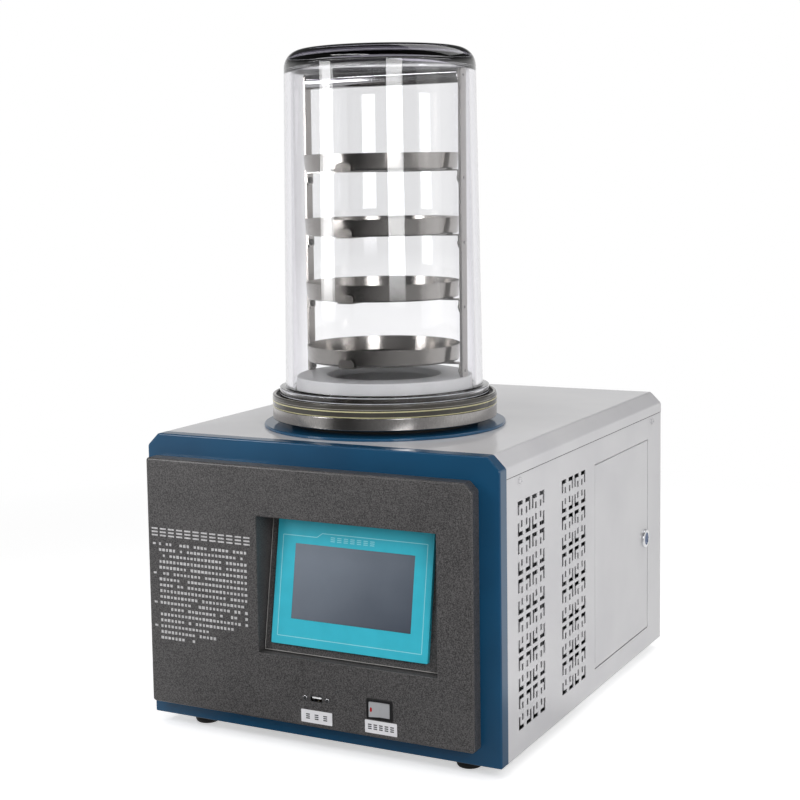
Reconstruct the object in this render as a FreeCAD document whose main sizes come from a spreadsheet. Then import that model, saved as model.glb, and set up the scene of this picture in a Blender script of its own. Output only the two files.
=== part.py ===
import FreeCAD, Part
import os
import re

import Sketcher
from FreeCAD import Placement, Rotation, Vector

# Bench-top freeze dryer.  Millimetres, +Z up, standing on z = 0, operator's side towards -Y.
# Every piece is drawn with Y counted back from the front face of the blue bezel, or from the
# chamber's own axis, and its Placement then carries it to the middle of the whole machine.

SIZES = {
    # cabinet
    "cabinet_width": 465, "cabinet_depth": 573.5, "cabinet_height": 349.4,
    "sheet": 1, "fit_gap": 0.2, "running_gap": 0.08, "overcut": 1,
    "foot_height": 14.5, "foot_radius": 15.5, "foot_inset": 54.5, "foot_front": 34,
    "foot_bevel": 2, "foot_hollow": 5, "lid_height": 26.8, "corner_chamfer": 15,
    "skirt_drop": 17, "screw_inset": 40, "panel_inset": 1, "bezel_depth": 18, "bezel_wall": 3,
    "bezel_edge": 4, "tray_lip": 24, "rear_reach": 32, "fold": 12, "corner_crop": 3,
    # grey control panel, its slanted screen recess and what is mounted in it
    "pan_depth": 18, "pan_left_margin": 8.7, "pan_right_margin": 25.5, "pan_bottom_margin": 19.6,
    "pan_top_margin": 27.1, "pan_wall": 3, "pan_edge": 3, "pan_corner": 4, "pan_cut_corner": 10,
    "window_width": 232, "window_height": 163, "window_right_margin": 44,
    "window_top_margin": 59.3, "recess_depth": 11.6, "recess_tilt": 9.55,
    "screen_width": 204, "screen_height": 150, "screen_frame": 5, "screen_lift": 10.8,
    "screen_shift": 2, "module_depth": 24, "module_rim": 7, "glass_width": 156,
    "glass_height": 88, "glass_thick": 1, "glass_lift": 31, "glass_shift": 1,
    "usb_width": 16.2, "usb_height": 7.9, "usb_depth": 18, "usb_lift": 34.8, "usb_shift": 37,
    "usb_wall": 1.2, "usb_screw_reach": 14.8, "panel_screw": 2.8,
    "switch_width": 33, "switch_height": 24, "switch_rim": 3, "switch_depth": 20,
    "switch_lift": 33.9, "switch_shift": 45.3, "rocker_tilt": 8, "rocker_depth": 2.5,
    "rocker_lip": 5.2, "rocker_dip": 3.4, "rocker_slack": 0.9, "rocker_pin": 1.5,
    # lyophilising chamber
    "chamber_lead": 31.1, "collar_brim": 10.9, "collar_thick": 3.6, "hub_rim": 16,
    "hub_wall": 6, "hub_height": 10.1, "flange_brim": 9.3, "flange_thick": 15.6,
    "flange_web": 9, "pot_radius": 100, "pot_wall": 1.5, "pot_depth": 164,
    "insulation": 24, "insulation_base": 18, "gasket_rim": 10.6, "gasket_thick": 7.4,
    "gasket_lip": 4.5, "gasket_lip_height": 7, "guard_wall": 3.5, "guard_height": 14,
    "dome_wall": 8, "dome_draft": 5.5, "dome_brim": 7.5, "dome_flange_thick": 15,
    "dome_height": 427, "dome_crown": 18, "crown_radius": 22, "ring_rim": 9,
    "ring_height": 36.7, "ring_plate_width": 39, "ring_wall": 6, "ring_plate": 8,
    # drying rack
    "post_width": 15, "post_thick": 3, "post_setback": 1.5, "post_height": 370.7,
    "handle_radius": 9.3, "shelf_count": 4, "strap": 1.5, "strap_width": 20, "strap_fold": 15,
    "shelf_lift": 17.2, "shelf_pitch": 77.6, "shelf_screw_drop": 10, "tab_height": 9.5,
    "tray_room": 9.2, "tray_taper": 1.8, "tray_height": 20.5, "tray_wall": 1,
    "tray_corner": 3,
    "m4_head": 4, "m4_head_height": 2.6, "m4_shank": 2, "thread_gap": 0.1,
    # side vents
    "vent_front": 51.7, "vent_width": 81.1, "vent_bottom": 42.5, "vent_height": 263.3,
    "vent_spacing": 136.9, "vent_rows": 6, "vent_columns": 2, "cell_gap": 4.5, "slot": 5,
    "slot_arm": 15.5, "inner_slot": 7.8, "inner_inset": 9.5, "plain_slots": 12,
    "plain_slot_length": 70, "rear_vent_width": 120, "rear_vent_lift": 60,
    # door, hinge pins and lock
    "door_front": 302.9, "door_width": 213.8, "door_bottom": 42.5, "door_height": 263.6,
    "door_gap": 1, "door_fold": 9, "pin_radius": 1.5, "pin_depth": 2.1, "pin_inset": 2.6,
    "pin_length": 9, "lock_inset": 14.7, "lock_height": 171, "lock_head": 12.5,
    "lock_rise": 3.7, "lock_bevel": 1.5, "lock_plug": 3, "key_width": 1.5, "key_depth": 2,
    "lock_barrel": 8, "cam_length": 26, "cam_width": 9, "cam_thick": 2,
    # refrigeration
    "compressor_left": 80.5, "compressor_back": 392, "compressor_radius": 75,
    "compressor_height": 176, "compressor_crown": 34, "compressor_heel": 20,
    "belt_height": 84, "belt_thick": 9, "belt_proud": 4, "foot_plate": 3,
    "mount_height": 20, "mount_radius": 9, "mount_plate": 150, "mount_pitch": 120,
    "condenser_inset": 19, "condenser_thick": 40, "condenser_front": 55, "condenser_width": 210,
    "condenser_bottom": 40, "condenser_height": 256, "fin_pitch": 8, "fin_groove": 5,
    "fin_depth": 14, "copper_radius": 4.8, "suction_bend": 14.4, "discharge_bend": 10.6,
    "fan_radius": 72, "fan_back": 160, "fan_height": 122, "fan_tip_gap": 3, "fan_ring": 32,
    "fan_hub": 20, "hub_depth": 14.4, "fan_blades": 5, "blade_pitch": 32, "blade_width": 32,
    "blade_root": 10, "fan_shaft": 4, "fan_arm": 12, "motor_radius": 26, "motor_length": 36,
    "drier_radius": 15, "drier_length": 90, "drier_neck": 3.2, "drier_stub": 12,
    "drier_cone": 10.5, "drier_back": 250, "drier_height": 56, "capillary_radius": 2,
    "capillary_bend": 8, "liquid_reach": 20,
    "suction_left": 30, "suction_height": 300, "suction_port": 150,
    "discharge_height": 92, "discharge_right": 62, "discharge_back": 285,
    # electrical compartment behind the door
    "rack_plate_inset": 110, "rack_plate_front": 306, "rack_plate_length": 212,
    "rack_plate_height": 276, "electrics_lift": 30, "electrics_inset": 12,
    "supply_depth": 48, "supply_length": 110, "supply_height": 98, "supply_slots": 8,
    "supply_margin": 10, "contactor_depth": 62, "contactor_length": 46,
    "contactor_height": 74, "contactor_step": 25, "contactor_margin": 16,
    "terminal_depth": 30, "terminal_length": 150, "terminal_height": 34, "terminal_count": 10,
    "terminal_bevel": 11, "terminal_groove": 1, "terminal_drop": 40, "terminal_inset": 30,
    # rear connections
    "port_height": 316, "port_radius": 12.5, "port_wall": 1.5,
    "kf_radius": 20, "kf_thick": 3, "kf_seat": 13.1,
    "inlet_margin": 67.5, "outlet_margin": 132.5, "socket_height": 62, "socket_width": 27,
    "socket_tall": 20, "socket_flange": 11, "socket_flange_thick": 3, "socket_depth": 26,
    "cavity_width": 24, "cavity_height": 16.5, "cavity_depth": 16, "core_gap": 4,
    "blade_spacing": 7, "blade_offset": 2, "blade_thick": 2, "blade_height": 4,
    "blade_setback": 3, "drain_height": 60, "drain_radius": 6.5, "drain_bore": 4.5,
    "valve_size": 20, "valve_length": 24, "valve_gap": 1, "spigot": 5, "stem_radius": 3,
    "stem_height": 6, "stem_wall": 2, "stem_seat": 4, "lever_length": 46, "lever_width": 11,
    "lever_thick": 2.5, "lever_boss": 1,
}

# Places worked out from the sizes above.
PLACES = {
    "half_width": "cabinet_width / 2",
    "cabinet_top": "foot_height + cabinet_height",
    "seam": "cabinet_top - lid_height",
    "front": "-(cabinet_depth + rear_reach - pan_depth - switch_proud) / 2",
    "side_face": "half_width - panel_inset",
    "inner_face": "side_face - sheet",
    "pan_left": "pan_left_margin - half_width",
    "pan_right": "half_width - pan_right_margin",
    "pan_bottom": "foot_height + pan_bottom_margin",
    "pan_top": "cabinet_top - pan_top_margin",
    "window_right": "pan_right - window_right_margin",
    "window_left": "window_right - window_width",
    "window_top": "pan_top - window_top_margin",
    "window_bottom": "window_top - window_height",
    "screen_middle": "window_right - window_width / 2 - screen_shift",
    "usb_middle": "screen_middle - usb_shift",
    "usb_height_middle": "pan_bottom + usb_lift",
    "switch_middle": "screen_middle + switch_shift",
    "switch_height_middle": "pan_bottom + switch_lift",
    "rocker_reach": "switch_width / 2 - switch_rim - rocker_slack",
    "switch_proud": "rocker_lip * cos(rocker_tilt * 1deg)"
                    " + rocker_reach * sin(rocker_tilt * 1deg) - rocker_depth",
    "rocker_half_height": "switch_height / 2 - switch_rim - 2 * fit_gap",
    "gasket_hole": "pot_radius + gasket_rim",
    "dome_bore": "gasket_hole + guard_wall + 2 * fit_gap",
    "dome_radius": "dome_bore + dome_wall",
    "dome_top_radius": "dome_radius - dome_draft",
    "dome_flange": "dome_radius + dome_brim",
    "flange_radius": "dome_flange + flange_brim",
    "collar_radius": "flange_radius + collar_brim",
    "hub_radius": "pot_radius + hub_rim",
    "ring_radius": "pot_radius + ring_rim",
    "ring_hole": "ring_radius - ring_plate_width",
    "post_reach": "ring_radius - post_setback",
    "tray_radius": "post_face - tray_room",
    "chamber_back": "collar_radius + chamber_lead",
    "chamber": "front + chamber_back",
    "hub_top": "cabinet_top + hub_height",
    "flange_top": "hub_top + flange_thick",
    "gasket_top": "flange_top + gasket_thick",
    "ring_top": "flange_top + ring_height",
    "dome_top": "gasket_top + dome_height",
    "pot_floor": "flange_top - pot_depth",
    "post_middle": "post_reach - post_thick / 2",
    "post_face": "post_reach - post_thick",
    "post_top": "ring_top + post_height",
    "handle_height": "post_top - handle_radius",
    "cell_width": "(vent_width - cell_gap) / vent_columns",
    "cell_height": "(vent_height - (vent_rows - 1) * cell_gap) / vent_rows",
    "door_back": "door_front + door_width",
    "door_top": "door_bottom + door_height",
    "hinge_back": "door_front + door_gap + pin_inset",
    "hinge_side": "side_face - pin_depth",
    "lock_back": "door_back - lock_inset",
    "lock_length": "fold + 2 * fit_gap",
    "lock_face": "side_face + lock_rise - lock_bevel",
    "compressor_side": "compressor_left - inner_face",
    "tray_floor": "foot_height + sheet",
    "compressor_bottom": "tray_floor + mount_height",
    "condenser_outer": "inner_face - condenser_inset",
    "condenser_inner": "condenser_outer - condenser_thick",
    "shroud_face": "condenser_inner - sheet",
    "fan_plane": "shroud_face - fan_ring / 2",
    "rack_plate_side": "half_width - rack_plate_inset",
    "inlet_middle": "half_width - inlet_margin",
    "outlet_middle": "half_width - outlet_margin",
    "rear_face": "cabinet_depth",
    "insulation_radius": "pot_radius + pot_wall + insulation",
    "insulation_top": "cabinet_top - 2 * sheet",
    "valve_middle": "rear_face + valve_gap + valve_length / 2",
}

doc = FreeCAD.newDocument("freeze_dryer")
sheet = doc.addObject("Spreadsheet::Sheet", "Sizes")
NODES = []


def fill_sheet():
    """One row per driving size: its name in column A and its plain number in column B."""
    for row, (alias, number) in enumerate(SIZES.items(), start=1):
        sheet.set(f"A{row}", alias)
        sheet.set(f"B{row}", str(number))
        sheet.setAlias(f"B{row}", alias)
    doc.recompute()


def formula(text):
    """Expression in terms of the sheet's cells, with every worked-out place written out."""

    def swap(match):
        word = match.group(0)
        if word in PLACES:
            return f"({formula(PLACES[word])})"
        return f"Sizes.{word}" if word in SIZES else word

    return re.sub(r"[A-Za-z_]\w*", swap, str(text))


def value(text):
    """Number that the expression has with the present sizes."""
    return float(sheet.evalExpression(formula(text)))


def bind(item, name, text):
    """Ties a property to the sheet, or sets it where the text is a plain number."""
    item.setExpression(name, formula(text))


def place(item, x="0", y="0", z="0"):
    """Carries a finished piece to its place in the machine."""
    for axis, text in zip("xyz", (x, y, z)):
        bind(item, f"Placement.Base.{axis}", text)
    return item


def node(item, label, x="0", y="front", z="0"):
    """Names a finished piece and places it."""
    item.Label = label
    NODES.append(item)
    return place(item, x, y, z)


# ---------------------------------------------------------------- sketches and features

def new_body(name):
    """Empty body that a piece is built up in."""
    return doc.addObject("PartDesign::Body", name)


def sketch(body, role, offset="0"):
    """Sketch on one of the body's own origin planes, moved along that plane's normal."""
    drawing = body.newObject("Sketcher::SketchObject", body.Name + "_sketch")
    origin_plane = [item for item in body.Origin.OriginFeatures if item.Role == role][0]
    drawing.AttachmentSupport = [(origin_plane, "")]
    drawing.MapMode = "FlatFace"
    bind(drawing, "AttachmentOffset.Base.z", offset)
    return drawing


def hold(drawing, geometry, point, across, up):
    """Holds one point of the drawing to the origin by its two coordinates."""
    for kind, text in (("DistanceX", across), ("DistanceY", up)):
        index = drawing.addConstraint(
            Sketcher.Constraint(kind, -1, 1, geometry, point, value(text))
        )
        name = f"{kind}_{geometry}_{point}"
        drawing.renameConstraint(index, name)
        bind(drawing, f"Constraints.{name}", text)


def polygon(drawing, corners):
    """Closed loop of straight lines through corners that follow the sheet."""
    first = drawing.GeometryCount
    count = len(corners)
    points = [Vector(value(across), value(up), 0) for across, up in corners]
    for index in range(count):
        line = Part.LineSegment(points[index], points[(index + 1) % count])
        drawing.addGeometry(line, False)
    for index in range(count):
        following = first + (index + 1) % count
        drawing.addConstraint(Sketcher.Constraint("Coincident", first + index, 2, following, 1))
    for index, (across, up) in enumerate(corners):
        hold(drawing, first + index, 1, across, up)
    return drawing


def rectangle(drawing, left, bottom, right, top):
    """Closed rectangle between two corners."""
    return polygon(drawing, [(left, bottom), (right, bottom), (right, top), (left, top)])


def circle(drawing, across, up, radius):
    """Circle whose centre and radius follow the sheet."""
    centre = Vector(value(across), value(up), 0)
    index = drawing.addGeometry(Part.Circle(centre, Vector(0, 0, 1), value(radius)), False)
    hold(drawing, index, 3, across, up)
    constraint = drawing.addConstraint(Sketcher.Constraint("Radius", index, value(radius)))
    name = f"Radius_{index}"
    drawing.renameConstraint(constraint, name)
    bind(drawing, f"Constraints.{name}", radius)
    return drawing


def pad(body, drawing, length, reverse=False, middle=False):
    """Solid swept straight out of the drawing."""
    feature = body.newObject("PartDesign::Pad", "Pad")
    feature.Profile = drawing
    bind(feature, "Length", length)
    feature.Midplane = middle
    feature.Reversed = reverse
    return feature


def pocket(body, drawing, length=None, reverse=False):
    """Material taken away, through everything both ways where no length is given."""
    feature = body.newObject("PartDesign::Pocket", "Pocket")
    feature.Profile = drawing
    if length is None:
        feature.Type = "ThroughAll"
        feature.Midplane = True
    else:
        bind(feature, "Length", length)
        feature.Reversed = reverse
    return feature


def turn(body, corners):
    """Turned piece: a half section of (radius, height) corners spun about the vertical."""
    drawing = polygon(sketch(body, "XZ_Plane"), corners)
    feature = body.newObject("PartDesign::Revolution", "Turned")
    feature.Profile = drawing
    feature.ReferenceAxis = (drawing, ["V_Axis"])
    feature.Angle = 360
    return feature


def edges_where(shape, test):
    """Names of the edges whose box passes the test."""
    return [f"Edge{i}" for i, edge in enumerate(shape.Edges, 1) if test(edge.BoundBox)]


def soften(body, base, radius, test, kind="PartDesign::Fillet"):
    """Rounds, or bevels, the edges of the base feature whose boxes pass the test."""
    doc.recompute()
    feature = body.newObject(kind, "Softened")
    feature.Base = (base, edges_where(base.Shape, test))
    bind(feature, "Radius" if kind.endswith("Fillet") else "Size", radius)
    return feature


def turned_node(label, corners, y="chamber", x="0", z="0"):
    """One turned piece as a node of its own."""
    body = new_body(label)
    turn(body, corners)
    return node(body, label, x, y, z)


# ---------------------------------------------------------------- primitives

def block(x, y, z, length, width, height):
    """Plain box with its lowest corner at x, y, z."""
    item = doc.addObject("Part::Box", "Block")
    for name, text in (("Length", length), ("Width", width), ("Height", height)):
        bind(item, name, text)
    return place(item, x, y, z)


DIRECTIONS = {
    "x": Rotation(Vector(0, 1, 0), 90),
    "-x": Rotation(Vector(0, 1, 0), -90),
    "y": Rotation(Vector(1, 0, 0), -90),
    "-y": Rotation(Vector(1, 0, 0), 90),
    "z": Rotation(),
    "-z": Rotation(Vector(1, 0, 0), 180),
}


def rod(x, y, z, radius, length, direction="z"):
    """Plain cylinder that starts at x, y, z and runs along the direction."""
    item = doc.addObject("Part::Cylinder", "Rod")
    item.Placement = Placement(Vector(), DIRECTIONS[direction])
    bind(item, "Radius", radius)
    bind(item, "Height", length)
    return place(item, x, y, z)


def cone(x, y, z, near, far, length, direction):
    """Plain cone that starts at x, y, z with the near radius."""
    item = doc.addObject("Part::Cone", "Cone")
    item.Placement = Placement(Vector(), DIRECTIONS[direction])
    for name, text in (("Radius1", near), ("Radius2", far), ("Height", length)):
        bind(item, name, text)
    return place(item, x, y, z)


def joined(pieces):
    """Pieces welded or moulded into one."""
    item = doc.addObject("Part::MultiFuse", "Joined")
    item.Shapes = pieces
    item.Refine = True
    return item


def cut(base, tool):
    """Base with the tool's shape taken out of it."""
    item = doc.addObject("Part::Cut", "Hollowed")
    item.Base = base
    item.Tool = tool
    item.Refine = True
    return item


def group(pieces):
    """Separate solids that share one node."""
    item = doc.addObject("Part::Compound", "Group")
    item.Links = pieces
    return item


def screw(x, y, z, direction, shank_length):
    """Pan-head screw whose head sits on the surface at x, y, z and points along direction."""
    opposite = {"x": "-x", "-x": "x"}[direction]
    head = rod(x, y, z, "m4_head", "m4_head_height", direction)
    shank = rod(x, y, z, "m4_shank", shank_length, opposite)
    return joined([head, shank])


# ---------------------------------------------------------------- cabinet

def build_bezel():
    """Blue front frame: a shallow shell, open behind, with an opening under the grey pan."""
    body = new_body("front_bezel")
    outline = sketch(body, "XZ_Plane")
    polygon(outline, [
        ("-half_width", "foot_height"), ("half_width", "foot_height"),
        ("half_width", "cabinet_top - corner_chamfer"),
        ("half_width - corner_chamfer", "cabinet_top"),
        ("corner_chamfer - half_width", "cabinet_top"),
        ("-half_width", "cabinet_top - corner_chamfer"),
    ])
    solid = pad(body, outline, "bezel_depth", reverse=True)
    soften(body, solid, "bezel_edge", lambda box: abs(box.YMax) < 1e-6)
    cavity = sketch(body, "XZ_Plane", "-bezel_depth")
    slope = "corner_chamfer + (sqrt(2) - 1) * bezel_wall"
    polygon(cavity, [
        ("bezel_wall - half_width", "foot_height + bezel_wall"),
        ("half_width - bezel_wall", "foot_height + bezel_wall"),
        ("half_width - bezel_wall", f"cabinet_top - ({slope})"),
        (f"half_width - ({slope})", "cabinet_top - bezel_wall"),
        (f"{slope} - half_width", "cabinet_top - bezel_wall"),
        ("bezel_wall - half_width", f"cabinet_top - ({slope})"),
    ])
    pocket(body, cavity, "bezel_depth - bezel_wall", reverse=True)
    opening = sketch(body, "XZ_Plane")
    rectangle(opening, "pan_left + fold", "pan_bottom + fold",
              "pan_right - fold", "pan_top - fold")
    pocket(body, opening)
    return node(body, "front_bezel")


def build_base_tray():
    """Folded steel tray that carries the compressor, condenser and feet."""
    body = new_body("base_tray")
    outline = sketch(body, "XY_Plane", "foot_height")
    rectangle(outline, "-inner_face", "bezel_depth", "inner_face", "rear_face - sheet")
    pad(body, outline, "tray_lip")
    inside = sketch(body, "XY_Plane", "foot_height + tray_lip")
    rectangle(inside, "sheet - inner_face", "bezel_depth + sheet",
              "inner_face - sheet", "rear_face - 2 * sheet")
    pocket(body, inside, "tray_lip - sheet")
    return node(body, "base_tray")


def build_lid():
    """Folded top cover with bevelled shoulders, a skirt inside the side panels and a back."""
    body = new_body("top_cover")
    bend = "(sqrt(2) - 1) * sheet"
    skirt = "inner_face - fit_gap"
    right = [
        ("half_width", "cabinet_top - corner_chamfer"), ("half_width", "seam"),
        (skirt, "seam"), (skirt, "seam - skirt_drop"),
        (f"{skirt} - sheet", "seam - skirt_drop"), (f"{skirt} - sheet", "seam + sheet"),
        ("half_width - sheet", "seam + sheet"),
        ("half_width - sheet", f"cabinet_top - corner_chamfer - {bend}"),
        (f"half_width - corner_chamfer - {bend}", "cabinet_top - sheet"),
    ]
    left = [(f"-({across})", up) for across, up in reversed(right)]
    outline = sketch(body, "XZ_Plane", "-bezel_depth")
    polygon(outline, [("half_width - corner_chamfer", "cabinet_top")] + right + left
            + [("corner_chamfer - half_width", "cabinet_top")])
    pad(body, outline, "rear_face - bezel_depth", reverse=True)
    back = sketch(body, "XZ_Plane", "-(rear_face - sheet)")
    polygon(back, [
        ("-half_width", "seam"), ("half_width", "seam"),
        ("half_width", "cabinet_top - corner_chamfer"),
        ("half_width - corner_chamfer", "cabinet_top"),
        ("corner_chamfer - half_width", "cabinet_top"),
        ("-half_width", "cabinet_top - corner_chamfer"),
    ])
    pad(body, back, "sheet", reverse=True)
    skirt_end = sketch(body, "YZ_Plane")
    rectangle(skirt_end, "rear_face - fold - fit_gap", "seam - 2 * skirt_drop",
              "rear_face + overcut", "seam")
    pocket(body, skirt_end)
    hole = sketch(body, "XY_Plane", "cabinet_top")
    circle(hole, "0", "chamber_back", "hub_radius - hub_wall")
    pocket(body, hole, "3 * sheet")
    screws = sketch(body, "YZ_Plane")
    for back_y in ("bezel_depth + screw_inset", "rear_face - screw_inset"):
        circle(screws, back_y, "seam - skirt_drop / 2", "m4_shank + thread_gap")
    pocket(body, screws)
    return node(body, "top_cover")


def side_sheet(name, outer):
    """Plain side sheet, with a hole for each of the two cover screws."""
    body = new_body(name)
    outline = sketch(body, "YZ_Plane", outer)
    rectangle(outline, "bezel_depth", "foot_height", "rear_face", "seam")
    pad(body, outline, "sheet")
    screws = sketch(body, "YZ_Plane")
    for back_y in ("bezel_depth + screw_inset", "rear_face - screw_inset"):
        circle(screws, back_y, "seam - skirt_drop / 2", "m4_shank + thread_gap")
    pocket(body, screws)
    return body


def build_left_panel():
    """Left side sheet with two plain louvre fields of upright slots."""
    body = side_sheet("left_side_panel", "-side_face")
    slots = sketch(body, "YZ_Plane", "-side_face")
    rectangle(slots, "vent_front", "vent_bottom", "vent_front + slot",
              "vent_bottom + plain_slot_length")
    pocket_feature = pocket(body, slots, "3 * sheet", reverse=True)
    pattern(body, slots, pocket_feature, [
        ("H_Axis", "vent_width - slot", "plain_slots / 2"),
        ("H_Axis", "vent_spacing", "2"),
        ("V_Axis", "vent_height - plain_slot_length", "3"),
    ])
    return node(body, "left_side_panel")


def pattern(body, drawing, original, rows):
    """Repeats a feature along the drawing's axes, one (axis, whole length, count) a row."""
    transform = body.newObject("PartDesign::MultiTransform", "Repeated")
    transform.Originals = [original]
    body.Tip = transform
    steps = []
    for axis, length, count in rows:
        step = body.newObject("PartDesign::LinearPattern", "Row")
        step.Direction = (drawing, [axis])
        bind(step, "Length", length)
        bind(step, "Occurrences", count)
        steps.append(step)
    transform.Transformations = steps
    body.Tip = transform
    return transform


def fret_cell(drawing):
    """One square of the fretwork: an L slot in each corner round four short slots."""
    ell = [("0", "0"), ("slot_arm", "0"), ("slot_arm", "slot"), ("slot", "slot"),
           ("slot", "slot_arm"), ("0", "slot_arm")]
    bar = [("inner_inset", "inner_inset"), ("inner_inset + slot", "inner_inset"),
           ("inner_inset + slot", "inner_inset + inner_slot"),
           ("inner_inset", "inner_inset + inner_slot")]
    for across_flip in (False, True):
        for up_flip in (False, True):
            for shape in (ell, bar):
                polygon(drawing, [
                    (f"vent_front + cell_width - ({a})" if across_flip else f"vent_front + {a}",
                     f"vent_bottom + cell_height - ({u})" if up_flip else f"vent_bottom + {u}")
                    for a, u in shape
                ])
    return drawing


def build_right_panel():
    """Right side sheet: two fretwork vents, and the door opening with its folded-in edge."""
    body = side_sheet("right_side_panel", "inner_face")
    lip = sketch(body, "YZ_Plane", "side_face")
    rectangle(lip, "door_front - sheet", "door_bottom - sheet",
              "door_back + sheet", "door_top + sheet")
    pad(body, lip, "fold", reverse=True)
    opening = sketch(body, "YZ_Plane", "side_face")
    rectangle(opening, "door_front", "door_bottom", "door_back", "door_top")
    pocket(body, opening)
    pins = sketch(body, "XY_Plane", "(door_bottom + door_top) / 2")
    circle(pins, "hinge_side", "hinge_back", "pin_radius + running_gap")
    feature = pocket(body, pins, "door_height + 4 * sheet")
    feature.Midplane = True
    cell = fret_cell(sketch(body, "YZ_Plane", "side_face"))
    slots = pocket(body, cell, "3 * sheet")
    pattern(body, cell, slots, [
        ("V_Axis", "vent_height - cell_height", "vent_rows"),
        ("H_Axis", "vent_width - cell_width", "vent_columns"),
        ("H_Axis", "vent_spacing", "2"),
    ])
    return node(body, "right_side_panel")


def build_rear_panel():
    """Rear sheet between the side sheets, with its flanges, air slots and connections."""
    body = new_body("rear_panel")
    edge = "inner_face - fit_gap"
    outline = sketch(body, "XZ_Plane", "-rear_face")
    rectangle(outline, f"-({edge})", "foot_height + fit_gap", edge, "seam - fit_gap")
    pad(body, outline, "sheet")
    flanges = sketch(body, "XY_Plane", "foot_height + tray_lip + fit_gap")
    rectangle(flanges, f"-({edge})", "rear_face - fold", f"sheet - ({edge})", "rear_face - sheet")
    rectangle(flanges, f"{edge} - sheet", "rear_face - fold", edge, "rear_face - sheet")
    pad(body, flanges, "seam - foot_height - tray_lip - 2 * fit_gap")
    holes = sketch(body, "XZ_Plane", "-rear_face")
    circle(holes, "0", "port_height", "port_radius + fit_gap")
    circle(holes, "0", "drain_height", "drain_radius + fit_gap")
    for middle in ("inlet_middle", "outlet_middle"):
        rectangle(holes, f"{middle} - socket_width / 2", "socket_height - socket_tall / 2",
                  f"{middle} + socket_width / 2", "socket_height + socket_tall / 2")
    feature = pocket(body, holes, "4 * sheet")
    feature.Midplane = True
    slots = sketch(body, "XZ_Plane", "-rear_face")
    left, low = "compressor_side - rear_vent_width / 2", "compressor_bottom + rear_vent_lift"
    rectangle(slots, left, low, f"{left} + slot", f"{low} + plain_slot_length")
    slot_cut = pocket(body, slots, "4 * sheet")
    slot_cut.Midplane = True
    pattern(body, slots, slot_cut, [("H_Axis", "rear_vent_width - slot", "plain_slots")])
    return node(body, "rear_panel")


def build_feet():
    """Four moulded rubber feet under the base tray's corners."""
    for label, side, y in (
        ("foot_front_left", "-(half_width - foot_inset)", "front + foot_front"),
        ("foot_front_right", "half_width - foot_inset", "front + foot_front"),
        ("foot_rear_left", "-(half_width - foot_inset)", "front + rear_face - foot_front"),
        ("foot_rear_right", "half_width - foot_inset", "front + rear_face - foot_front"),
    ):
        turned_node(label, [
            ("0", "foot_height / 2"), ("foot_hollow", "foot_height / 2"),
            ("foot_hollow", "0"), ("foot_radius - foot_bevel", "0"),
            ("foot_radius", "foot_bevel"), ("foot_radius", "foot_height"),
            ("0", "foot_height"),
        ], y, side)


def build_cover_screws():
    """Four pan-head screws through the side sheets into the lid's skirt."""
    pieces = []
    length = "2 * (sheet + fit_gap)"
    for back_y in ("bezel_depth + screw_inset", "rear_face - screw_inset"):
        pieces.append(screw("side_face", back_y, "seam - skirt_drop / 2", "x", length))
        pieces.append(screw("-side_face", back_y, "seam - skirt_drop / 2", "-x", length))
    return node(group(pieces), "cover_screws")


# ---------------------------------------------------------------- control panel

def on_slope(along, out):
    """(y, z) at a distance up the slanted recess floor and out of it towards the operator."""
    y = (f"recess_depth - pan_depth + ({along}) * sin(recess_tilt * 1deg)"
         f" - ({out}) * cos(recess_tilt * 1deg)")
    z = (f"window_bottom + ({along}) * cos(recess_tilt * 1deg)"
         f" + ({out}) * sin(recess_tilt * 1deg)")
    return y, z


def slab(body, along_from, along_to, out_from, out_to, width, remove=False, shift="0"):
    """Block lying on the slanted floor, symmetric about the screen's middle plane."""
    drawing = sketch(body, "YZ_Plane", f"screen_middle + {shift}")
    polygon(drawing, [
        on_slope(along_from, out_from), on_slope(along_to, out_from),
        on_slope(along_to, out_to), on_slope(along_from, out_to),
    ])
    if not remove:
        return pad(body, drawing, width, middle=True)
    feature = pocket(body, drawing, width)
    feature.Midplane = True
    return feature


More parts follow.
